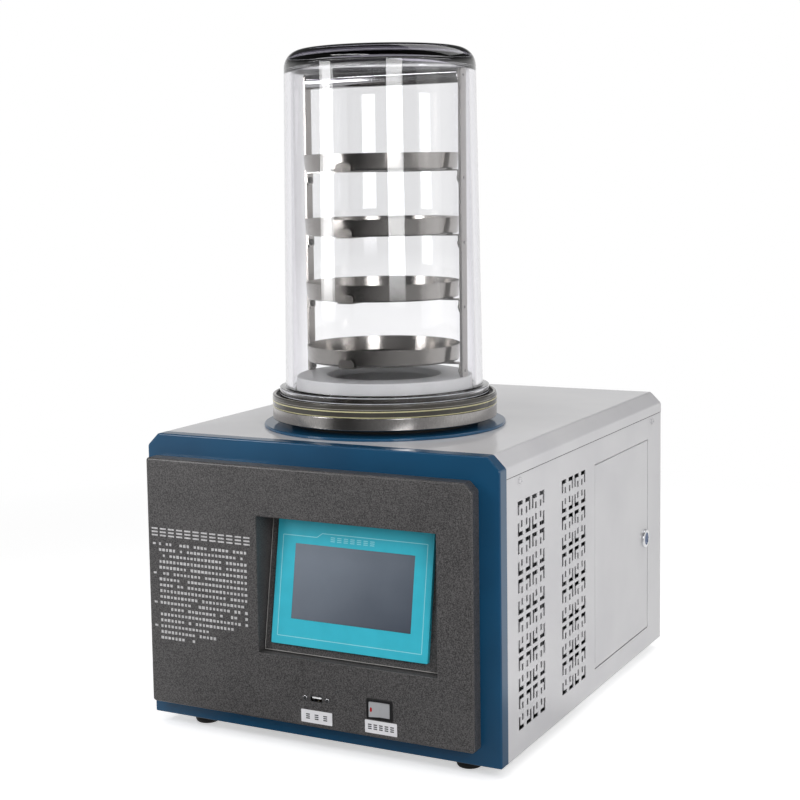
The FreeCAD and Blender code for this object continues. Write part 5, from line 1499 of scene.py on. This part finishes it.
@dataclass
class Chamber:
    """Clear bell on its seal, over the steel flange and the cold trap. Sizes in millimetres."""

    flange_bore: float = 100.0
    hub: float = 116.0
    hub_wall: float = 6.0
    flange_web: float = 9.0
    flange_thick: float = 15.6
    seal_bore: float = 110.6
    seal_lip: float = 4.5
    seal_lip_height: float = 7.0
    guard: float = 114.1
    bell_radius: float = 122.5
    bell_top: float = 117.0
    bell_wall: float = 8.0
    bell_flange: float = 15.0
    crown: float = 18.0
    shoulder: float = 22.0
    ring_hole: float = 70.0
    ring_wall: float = 6.0
    ring_plate: float = 8.0
    collar_gap: float = 0.2
    hub_step: tuple[float, float] = (1.0, 0.5)
    sleeve_lip: float = 1.5
    sleeve_gap: float = 0.05
    seat_bead: RingLine = RingLine(1.2, 0.25, 0.7, 0.7, 0.28)
    foot_bead: RingLine = RingLine(1.2, 0.25, 0.45, 0.45, 0.18)
    lip_highlight: RingLine = RingLine(0.6, 0.3, 0.3, 0.35, 0.15)
    bell_foot_highlight: RingLine = RingLine(0.4, 0.12, 0.4, 0.4, 0.1)

    def build(self) -> None:
        """Makes every round piece of the chamber."""
        centre = Span.of("dome").middle
        at = (centre.x, centre.y, 0)
        self.base(at)
        self.seal(at)
        bell, ring = Span.of("dome"), Span.of("support_ring")
        inside = self.bell_radius - self.bell_wall
        body = turned([(0, bell.hi.z, 0), (self.bell_top, bell.hi.z, self.shoulder),
                       (self.bell_radius, bell.lo.z + self.bell_flange, 2.0),
                       (bell.hi.x, bell.lo.z + self.bell_flange, 1.5), (bell.hi.x, bell.lo.z, 1.0),
                       (inside, bell.lo.z, 1.0),
                       (self.bell_top - self.bell_wall, bell.hi.z - self.crown, self.shoulder / 2),
                       (0, bell.hi.z - self.crown, 0)], at, steps=144)
        publish(body, "bell", ACRYLIC, stands_for=["dome"])
        body = turned([(self.ring_hole, ring.hi.z, 1.5), (ring.hi.x, ring.hi.z, 1.6),
                       (ring.hi.x, ring.lo.z, 0), (ring.hi.x - self.ring_wall, ring.lo.z, 0),
                       (ring.hi.x - self.ring_wall, ring.hi.z - self.ring_plate, 0),
                       (self.ring_hole, ring.hi.z - self.ring_plate, 1.0)], at, steps=ROUND)
        publish(body, "ring_stand", WHITE_PLASTIC, stands_for=["support_ring"])
        trap_steel = TurnedSteel("satin_stainless_pot", "#CFCDCB", 0.45, scratch_mm=9.0,
                                 centre=(centre.x * MM, centre.y * MM))
        recast("cold_trap", trap_steel, edge=0)
        recast("trap_insulation", FOAM, edge=0.8)
        recast("vacuum_port", STEEL)

    def base(self, at: Sequence[float]) -> None:
        """Collar, flange and the dark sleeve round the flange's hub, which is painted shade for the
        shadow under the flange.

        Args:
            at: Centre of the chamber.
        """
        collar, flange = Span.of("collar_disc"), Span.of("trap_flange")
        bore = self.hub + self.collar_gap
        disc = turned([(bore, collar.lo.z, 0), (collar.hi.x, collar.lo.z, 0.8),
                       (collar.hi.x, collar.hi.z, 1.4), (bore, collar.hi.z, 0)], at, steps=ROUND)
        publish(disc, "collar", BLUE, stands_for=["collar_disc"])
        top, outer, (step, drop) = flange.hi.z, flange.hi.x, self.hub_step
        low, inner = top - self.flange_thick, self.hub - self.hub_wall
        body = turned([(self.flange_bore, top, 1.0), (outer, top, 1.4), (outer, low, 1.4),
                       (self.hub, low, 0), (self.hub - step, low - drop, 0),
                       (inner, top - self.flange_web, 0),
                       (self.flange_bore, top - self.flange_web, 0)], at, steps=ROUND)
        publish(body, "flange", FLANGE_STEEL, stands_for=["trap_flange"])
        # Black sleeve: painted shade, standing for the shadow under the flange.
        upper = low + self.sleeve_gap
        sleeve = turned([(inner, flange.lo.z, 0), (self.hub, flange.lo.z, 0),
                         (self.hub, upper, 0), (self.hub - self.sleeve_lip, upper, 0),
                         (inner, top - self.flange_web - 1, 0)], at, steps=ROUND)
        publish(sleeve, "hub_shadow_sleeve", BLACK_RUBBER, stands_for=["trap_flange"])

    def seal(self, at: Sequence[float]) -> None:
        """Seal of the bell: outer lip, seat and the taller lip inside, with its fine lines.

        The lines are painted highlights: two pale beads, pale lines on the edges of the lip and
        bright lines on the edges of the bell's foot. Real edges shine in a line too fine to show,
        and are drawn as wide as they need to be.

        Args:
            at: Centre of the chamber.
        """
        span, brim = Span.of("gasket"), Span.of("dome").hi.x
        low, seat = span.lo.z, Span.of("dome").lo.z
        top, inner = seat + self.seal_lip_height, span.hi.x - self.seal_lip
        body = turned([(self.seal_bore, low, 0), (span.hi.x, low, 0.8), (span.hi.x, top, 1.4),
                       (inner, top, 1.0), (inner, seat, 0), (self.guard, seat, 0),
                       (self.guard, span.hi.z, 1.2), (self.seal_bore, span.hi.z, 1.2)],
                      at, steps=ROUND)
        publish(body, "seal", SEAL, stands_for=["gasket"])
        # Painted highlights: pale beads and edge lines where the seal and the bell catch the light.
        beads = self.seat_bead.drawn(at, [(span.hi.x, seat - 0.3)])
        lower = self.foot_bead.drawn(at, [(span.hi.x, low + self.foot_bead.down)])
        add_copy(beads, lower)
        lower.free()
        publish(beads, "seal_bead_highlights", SEAL_BEAD_HIGHLIGHT)
        rim = self.lip_highlight.drawn(at, [(inner + 1.6, top - 0.15), (span.hi.x - 0.1, seat + 2.2)])
        publish(rim, "seal_rim_highlights", SEAL_EDGE_HIGHLIGHT)
        polish = self.bell_foot_highlight.drawn(at, [(brim, seat + self.bell_flange - 0.7),
                                             (brim, seat + self.bell_flange * 0.52)])
        publish(polish, "bell_edge_highlights", BELL_EDGE_HIGHLIGHT)


@dataclass
class Rack:
    """Two posts and a bar that carry four shelves with their trays. Sizes in millimetres."""

    shelves: int = 4
    tray_taper: float = 1.8
    tray_wall: float = 1.0
    head_radius: float = 4.0
    head_height: float = 2.6
    post_thick: float = 3.0
    strap: float = 1.5
    screw_drop: float = 10.0
    shank_radius: float = 2.0
    shank_length: float = 7.0
    shank_rounding: float = 0.5

    def build(self) -> None:
        """Makes the rack from the posts inwards."""
        for side in ("left", "right"):
            recast(f"rack_{side}_post", POST_STEEL, edge=0.4)
        bar = Span.of("rack_handle")
        radius = (bar.hi.z - bar.lo.z) / 2
        axle = turned([(0, bar.lo.x, 0), (radius, bar.lo.x, 0.8), (radius, bar.hi.x, 0.8),
                       (0, bar.hi.x, 0)], (0, bar.middle.y, bar.middle.z), Axis.RIGHT, steps=64)
        publish(axle, "carrying_bar", MIRROR_STEEL, stands_for=["rack_handle"])
        for level in range(1, self.shelves + 1):
            recast(f"shelf_{level}", STEEL, edge=0.25)
            self.tray(level)
        self.screws(bar)

    def tray(self, level: int) -> None:
        """One pressed tray with a flared wall and a softly rounded rim and foot.

        Args:
            level: Which tray, counted from one.
        """
        span = Span.of(f"tray_{level}")
        outer, bottom, top = span.hi.x, span.lo.z, span.hi.z
        foot, wall = outer - self.tray_taper, self.tray_wall
        body = turned([(0, bottom, 0), (foot, bottom, 3.0), (outer, top, 0.35),
                       (outer - wall, top, 0.35), (foot - wall, bottom + wall, 2.4),
                       (0, bottom + wall, 0)], (span.middle.x, span.middle.y, 0), steps=ROUND)
        publish(body, f"pressed_tray_{level}", STEEL, stands_for=[f"tray_{level}"])

    def screws(self, bar: Span) -> None:
        """Screws through the posts into the shelves, and the flush ones in the bar's ends.

        Args:
            bar: Box of the carrying bar.
        """
        post, shape = Span.of("rack_right_post"), bmesh.new()
        inside = post.hi.x - self.post_thick - self.strap
        head = pan_head(self.head_radius, self.head_height)
        heights = [Span.of(f"tray_{level}").lo.z - self.screw_drop
                   for level in range(1, self.shelves + 1)]
        sides = ((1, Axis.LEFT), (-1, Axis.RIGHT))
        for level, height in enumerate(heights, start=1):
            shelf = Span.of(f"shelf_{level}")
            for side, axis in sides:
                at = Matrix.Translation((side * inside, shelf.middle.y, height))
                add_copy(shape, head, at @ axis.value)
        head.free()
        radius, length, rounding = self.shank_radius, self.shank_length, self.shank_rounding
        shank = turned([(0, 0, 0), (radius, 0, rounding), (radius, length, rounding),
                        (0, length, 0)], steps=24)
        for side, axis in sides:
            for height in [bar.middle.z] + heights:
                at = Matrix.Translation((side * post.hi.x, bar.middle.y, height))
                add_copy(shape, shank, at @ axis.value)
        shank.free()
        publish(shape, "rack_fixings", SCREW_STEEL, stands_for=["rack_screws"])


# ---------------------------------------------------------------- door

@dataclass
class SideDoor:
    """Pressed door with folded edges, its pins, and the quarter-turn lock. Sizes in millimetres."""

    sheet: float = 1.0
    fold_radius: float = 1.6
    barrel: float = 8.08
    barrel_gap: float = 0.08
    barrel_proud: float = 0.4
    insert: float = 8.2
    insert_gap: float = 0.1
    insert_lift: float = 0.3
    insert_sunk: float = 1.0
    ring_drop: float = 0.6
    key_slot: float = 8.0
    key_half: float = 0.75
    through: float = 9.0

    def build(self) -> None:
        """Makes the door leaf and the lock."""
        span, lock = Span.of("side_door"), Span.of("door_lock")
        face, back, radius = span.hi.x, lock.lo.x, (lock.hi.z - lock.lo.z) / 2
        y, z, proud, far = lock.middle.y, lock.middle.z, lock.hi.x - face, self.through
        leaf = block(span.lo, span.hi)
        soften(leaf, self.fold_radius, lambda at, run: at.x > span.lo.x + NEAR)
        hollow = block(span.lo + Vector((-OVER, self.sheet, self.sheet)),
                       span.hi - Vector((self.sheet,) * 3))
        hole = turned([(0, -far, 0), (self.barrel, -far, 0), (self.barrel, far, 0), (0, far, 0)],
                      (face, y, z), Axis.RIGHT, steps=SMALL_ROUND)
        publish(carve(leaf, hollow, hole), "door_leaf", LIGHT, Body.DOOR,
                stands_for=["side_door"])
        recast("door_pins", STEEL, Body.DOOR, edge=0.2)
        ring = turned([(self.insert, 0, 0), (radius, 0, 0), (radius, proud - self.ring_drop, 1.2),
                       (self.insert, proud, 0.6)], (face, y, z), Axis.RIGHT, steps=64)
        core = self.barrel - self.barrel_gap
        barrel = turned([(0, back - face, 0), (core, back - face, 0.4),
                         (core, self.barrel_proud, 0), (0, self.barrel_proud, 0)],
                        (face, y, z), Axis.RIGHT, steps=SMALL_ROUND)
        publish(add_copy(ring, barrel), "lock_ring", CHROME, Body.LOCK,
                stands_for=["door_lock"])
        core, top = self.insert - self.insert_gap, proud - self.insert_sunk
        insert = turned([(0, self.insert_lift, 0), (core, self.insert_lift, 0), (core, top, 0.5),
                         (0, top, 0)], (face, y, z), Axis.RIGHT, steps=SMALL_ROUND)
        slot = block((face + self.insert_sunk, y - self.key_half, z - self.key_slot / 2),
                     (face + far, y + self.key_half, z + self.key_slot / 2))
        publish(carve(insert, slot), "lock_insert", LOCK_BLUE, Body.LOCK)
        recast("lock_cam", ZINC, Body.LOCK)


# ---------------------------------------------------------------- inside and behind

@dataclass
class Machinery:
    """Refrigeration, electrical compartment and rear connections."""

    def build(self) -> None:
        """Gives every remaining piece its soft edges and its finish."""
        for node, finish, slot, edge in (
            ("compressor", BLACK_ENAMEL, Slot.ENAMEL, 0.8),
            ("compressor_mounts", BLACK_RUBBER, Slot.RUBBER, 0.5),
            ("condenser", ALUMINIUM, Slot.FINS, 0.0),
            ("fan_shroud", ZINC, Slot.ZINC, 0.3),
            ("fan_motor", BLACK_ENAMEL, Slot.ENAMEL, 0.8),
            ("suction_pipe", COPPER, Slot.COPPER, 0.0),
            ("discharge_pipe", COPPER, Slot.COPPER, 0.0),
            ("liquid_line", COPPER, Slot.COPPER, 0.0),
            ("filter_drier", COPPER, Slot.COPPER, 0.5),
            ("electrical_plate", ZINC, Slot.ZINC, 0.3),
            ("power_supply", ALUMINIUM, Slot.FINS, 0.4),
            ("contactor", GREY_PLASTIC, Slot.SWITCH_GREY, 0.6),
            ("terminal_block", GREY_PLASTIC, Slot.SWITCH_GREY, 0.4),
            ("power_inlet", BLACK_PLASTIC, Slot.SWITCH_BLACK, 0.5),
            ("pump_outlet", BLACK_PLASTIC, Slot.SWITCH_BLACK, 0.5),
            ("drain_valve", BRASS, Slot.BRASS, 0.4),
        ):
            recast(node, finish, edge=edge)
        recast("fan_rotor", BLACK_PLASTIC, Body.FAN, edge=0.3)
        recast("valve_handle", RED_VINYL, Body.LEVER, edge=0.6)


# ---------------------------------------------------------------- studio

@dataclass(frozen=True)
class Lamp:
    """Soft rectangular light. Sizes in metres, power in watts."""

    name: str
    at: tuple[float, float, float]
    to: tuple[float, float, float]
    size: tuple[float, float]
    power: float


@dataclass(frozen=True)
class Strip:
    """Upright light that faces the bell, so that its reflection stands on it as a bright bar.

    Angle counts in degrees from straight ahead of the front, to the right. Reach is the distance
    from the bell's axis, and foot the height of the lower end, in metres.
    """

    name: str
    angle: float
    reach: float
    size: tuple[float, float]
    foot: float
    power: float


@dataclass(frozen=True)
class Ramp:
    """How a brightness changes with a direction: from low at start to high at end."""

    start: float
    end: float
    low: float
    high: float


@dataclass
class Studio:
    """Pale floor, lights, the white room round them and the camera. Sizes in metres.

    The ramps say how bright the room shows: ceiling by how far a direction points up, backdrop by
    how nearly it goes straight away from the camera, behind by how far it points to the back, and
    left_wall and right_wall by how far it points to the right.
    """

    camera_at: tuple[float, float, float] = (0.9051, -1.86725, 0.6661)
    turn: float = 28.449
    dip: float = 6.033
    roll: float = -0.987
    lens: float = 71.9
    shift: tuple[float, float] = (0.0616, -0.0643)
    sensor_mm: float = 36.0
    floor_reach: float = 30.0
    paper_lift: float = 0.5
    paper_edge: tuple[float, float] = (0.7, 1.6)
    ambient: float = 0.3
    glare: float = 1.3
    glare_reach: tuple[float, float] = (3.0, 13.0)
    strip_fade: float = 0.12
    strips: tuple[Strip, ...] = (
        Strip("right strip", 43.5, 1.5, (0.48, 0.76), 0.44, 9.0),
        Strip("left strip", -37.0, 1.0, (0.26, 0.52), 0.44, 4.0))
    lamps: tuple[Lamp, ...] = (
        Lamp("top light", (0.6, 0.8, 2.0), (0.05, 0.05, 0.35), (1.4, 1.4), 11.5),
        Lamp("side fill", (2.3, -0.3, 0.9), (0.2, 0.0, 0.25), (1.2, 1.2), 3.2),
        Lamp("edge light", (-0.25, -1.15, 1.75), (0.0, -0.25, 0.25), (1.1, 0.16), 4.2))
    ceiling: Ramp = Ramp(0.12, 0.3, 1.0, 0.1)
    backdrop: Ramp = Ramp(0.75, 0.97, 0.3, 1.0)
    behind: Ramp = Ramp(-0.45, 0.1, 0.06, 1.0)
    left_wall: Ramp = Ramp(-0.62, -0.4, 0.78, 0.06)
    right_wall: Ramp = Ramp(-0.1, 0.9, 0.06, 0.45)

    def build(self) -> None:
        """Makes floor, lights, world and camera."""
        self.floor()
        self.lights()
        self.world()
        self.camera()

    def floor(self) -> None:
        """Wide pale floor that keeps the machine's shadow."""
        sheet = bmesh.new()
        bmesh.ops.create_grid(sheet, x_segments=1, y_segments=1, size=self.floor_reach)
        mesh = bpy.data.meshes.new("floor")
        sheet.to_mesh(mesh)
        sheet.free()
        item = bpy.data.objects.new("floor", mesh)
        bpy.context.scene.collection.objects.link(item)
        paper = bpy.data.materials.new("white_paper_sweep")
        paper.use_nodes = True
        tree = paper.node_tree
        tree.nodes.clear()
        place = add_node(tree, "TexCoord").outputs["Object"]
        cloud = add_node(tree, "TexNoise", {"Vector": place, "Scale": 3.0})
        tone = add_node(tree, "Mix", {0: cloud.outputs[0], 6: linear("#FBFBFB"),
                                      7: linear("#F7F7F8")}, data_type="RGBA")
        shader = add_node(tree, "BsdfPrincipled", {"Base Color": tone.outputs[2], "Roughness": 0.9,
                                                   "Specular IOR Level": 0.1})
        far = add_node(tree, "VectorMath", {0: place}, operation="LENGTH").outputs["Value"]
        distant = add_node(tree, "MapRange", {"Value": far, "From Min": self.paper_edge[0],
                                              "From Max": self.paper_edge[1]})
        mirror = add_node(tree, "LightPath").outputs["Is Glossy Ray"]
        bare = add_node(tree, "Math", {0: distant.outputs[0], 1: mirror}, operation="MAXIMUM")
        way = add_node(tree, "VectorMath", {0: place}, operation="NORMALIZE").outputs[0]
        shown = self.seen(tree, way, self.paper_lift, 0.0)
        lift = add_node(tree, "Emission", {"Color": (1, 1, 1, 1), "Strength": shown})
        near = add_node(tree, "AddShader", {0: shader.outputs[0], 1: lift.outputs[0]})
        glare = add_node(tree, "MapRange", {"Value": far, "From Min": self.glare_reach[0],
                                            "From Max": self.glare_reach[1],
                                            "To Min": self.glare, "To Max": 1.0})
        white = add_node(tree, "Emission", {
            "Color": (1, 1, 1, 1),
            "Strength": self.seen(tree, way, 1.0, self.ambient, glare.outputs[0])})
        total = add_node(tree, "MixShader", {0: bare.outputs[0], 1: near.outputs[0],
                                             2: white.outputs[0]})
        add_node(tree, "OutputMaterial", {"Surface": total.outputs[0]})
        mesh.materials.append(paper)

    def lights(self) -> None:
        """Two tall strips whose reflections stand on the bell, and three wide soft lights."""
        middle = Span.of("dome").middle * MM
        for strip in self.strips:
            turn, height = math.radians(strip.angle), strip.foot + strip.size[1] / 2
            at = (middle.x + strip.reach * math.sin(turn), middle.y - strip.reach * math.cos(turn),
                  height)
            self.lamp(Lamp(strip.name, at, (middle.x, middle.y, height), strip.size, strip.power),
                      self.strip_fade)
        for lamp in self.lamps:
            self.lamp(lamp)

    def lamp(self, lamp: Lamp, fade: float = 0.0) -> None:
        """Sets up one light.

        Args:
            lamp: The light.
            fade: Share of its height over which its lower end fades out.
        """
        data = bpy.data.lights.new(lamp.name, "AREA")
        data.shape, data.energy = "RECTANGLE", lamp.power
        data.size, data.size_y = lamp.size
        if fade:
            data.use_nodes = True
            tree = data.node_tree
            tree.nodes.clear()
            spot = add_node(tree, "NewGeometry").outputs["Parametric"]
            height = add_node(tree, "SeparateXYZ", {0: spot}).outputs[1]
            level = add_node(tree, "MapRange", {"Value": height, "From Max": fade})
            glow = add_node(tree, "Emission", {"Strength": level.outputs[0]})
            add_node(tree, "OutputLight", {"Surface": glow.outputs[0]})
        item = bpy.data.objects.new(lamp.name, data)
        item.location = lamp.at
        ahead = Vector(lamp.to) - Vector(lamp.at)
        item.rotation_euler = ahead.to_track_quat("-Z", "Y").to_euler()
        bpy.context.scene.collection.objects.link(item)

    def seen(self, tree: bpy.types.NodeTree, way: Socket, straight: float, soft: float,
             clear: Any = 1.0) -> Socket:
        """How bright the room is in one direction, for each way that it can be looked at.

        Glass shows it white behind the machine, and darker to the sides and overhead. Metal mirrors
        it white behind and to the left, and dark in front.

        Args:
            tree: Node tree of the floor or the world.
            way: Direction from the machine.
            straight: Strength that the camera sees.
            soft: Strength that lights dull surfaces.
            clear: Strength that glass shows straight behind the machine.

        Returns:
            The strength.
        """
        path, parts = add_node(tree, "LightPath"), add_node(tree, "SeparateXYZ", {0: way})
        turn = math.radians(self.turn)
        along = add_node(tree, "VectorMath", {0: way, 1: (-math.sin(turn), math.cos(turn), 0.0)},
                         operation="DOT_PRODUCT").outputs["Value"]
        x, y, z = parts.outputs
        ceiling, backdrop, behind, left, right = (
            add_node(tree, "MapRange", {"Value": value, "From Min": ramp.start,
                                        "From Max": ramp.end, "To Min": ramp.low,
                                        "To Max": ramp.high}).outputs[0]
            for value, ramp in ((z, self.ceiling), (along, self.backdrop), (y, self.behind),
                                (x, self.left_wall), (x, self.right_wall)))
        shut = add_node(tree, "Math", {0: ceiling, 1: backdrop}, operation="MULTIPLY")
        through = add_node(tree, "Math", {0: shut.outputs[0], 1: clear}, operation="MULTIPLY")
        inside = add_node(tree, "Mix", {0: path.outputs["Diffuse Depth"], 2: through.outputs[0],
                                        3: self.glare})
        walls = add_node(tree, "Math", {0: left, 1: right}, operation="MAXIMUM")
        sides = add_node(tree, "Math", {0: behind, 1: walls.outputs[0]}, operation="MAXIMUM")
        mirrored = add_node(tree, "Math", {0: ceiling, 1: sides.outputs[0]}, operation="MULTIPLY")
        strength: Any = soft
        for kind, shown in (("Is Transmission Ray", inside.outputs[0]),
                            ("Glossy Depth", mirrored.outputs[0]), ("Is Camera Ray", 1.0)):
            strength = add_node(tree, "Mix", {0: path.outputs[kind], 2: strength,
                                              3: shown}).outputs[0]
        return add_node(tree, "Math", {0: strength, 1: straight}, operation="MULTIPLY").outputs[0]

    def world(self) -> None:
        """White room that the floor runs out into, with soft grey light on dull surfaces."""
        world = bpy.data.worlds.new("studio")
        world.use_nodes = True
        tree = world.node_tree
        tree.nodes.clear()
        way = add_node(tree, "TexCoord").outputs["Generated"]
        light = add_node(tree, "Background", {"Color": (1, 1, 1, 1),
                                              "Strength": self.seen(tree, way, 1.0, self.ambient)})
        add_node(tree, "OutputWorld", {"Surface": light.outputs[0]})
        bpy.context.scene.world = world

    def camera(self) -> None:
        """Camera at the operator's right, a little above the housing."""
        turn, dip, roll = (math.radians(angle) for angle in (self.turn, self.dip, self.roll))
        ahead = Vector((-math.sin(turn) * math.cos(dip), math.cos(turn) * math.cos(dip),
                        -math.sin(dip)))
        right = Vector((math.cos(turn), math.sin(turn), 0.0))
        up = right.cross(ahead)
        rolled = math.cos(roll) * right + math.sin(roll) * up
        over = -math.sin(roll) * right + math.cos(roll) * up
        data = bpy.data.cameras.new("camera")
        data.lens, data.sensor_width = self.lens, self.sensor_mm
        data.shift_x, data.shift_y = self.shift
        item = bpy.data.objects.new("camera", data)
        axes = Matrix((rolled, over, -ahead)).transposed().to_4x4()
        item.matrix_world = Matrix.Translation(self.camera_at) @ axes
        bpy.context.scene.collection.objects.link(item)
        bpy.context.scene.camera = item
        bpy.context.scene.view_settings.view_transform = "Standard"


def main() -> None:
    """Builds the whole machine round its frame, then the studio."""
    logging.basicConfig(level=logging.INFO, format="%(name)s: %(message)s")
    recess = Recess()
    Cabinet().build()
    ControlPanel().build(recess)
    TouchScreen().build(recess)
    PortAndSwitch().build()
    Chamber().build()
    Rack().build()
    SideDoor().build()
    Machinery().build()
    Studio().build()


if __name__ == "__main__":
    main()
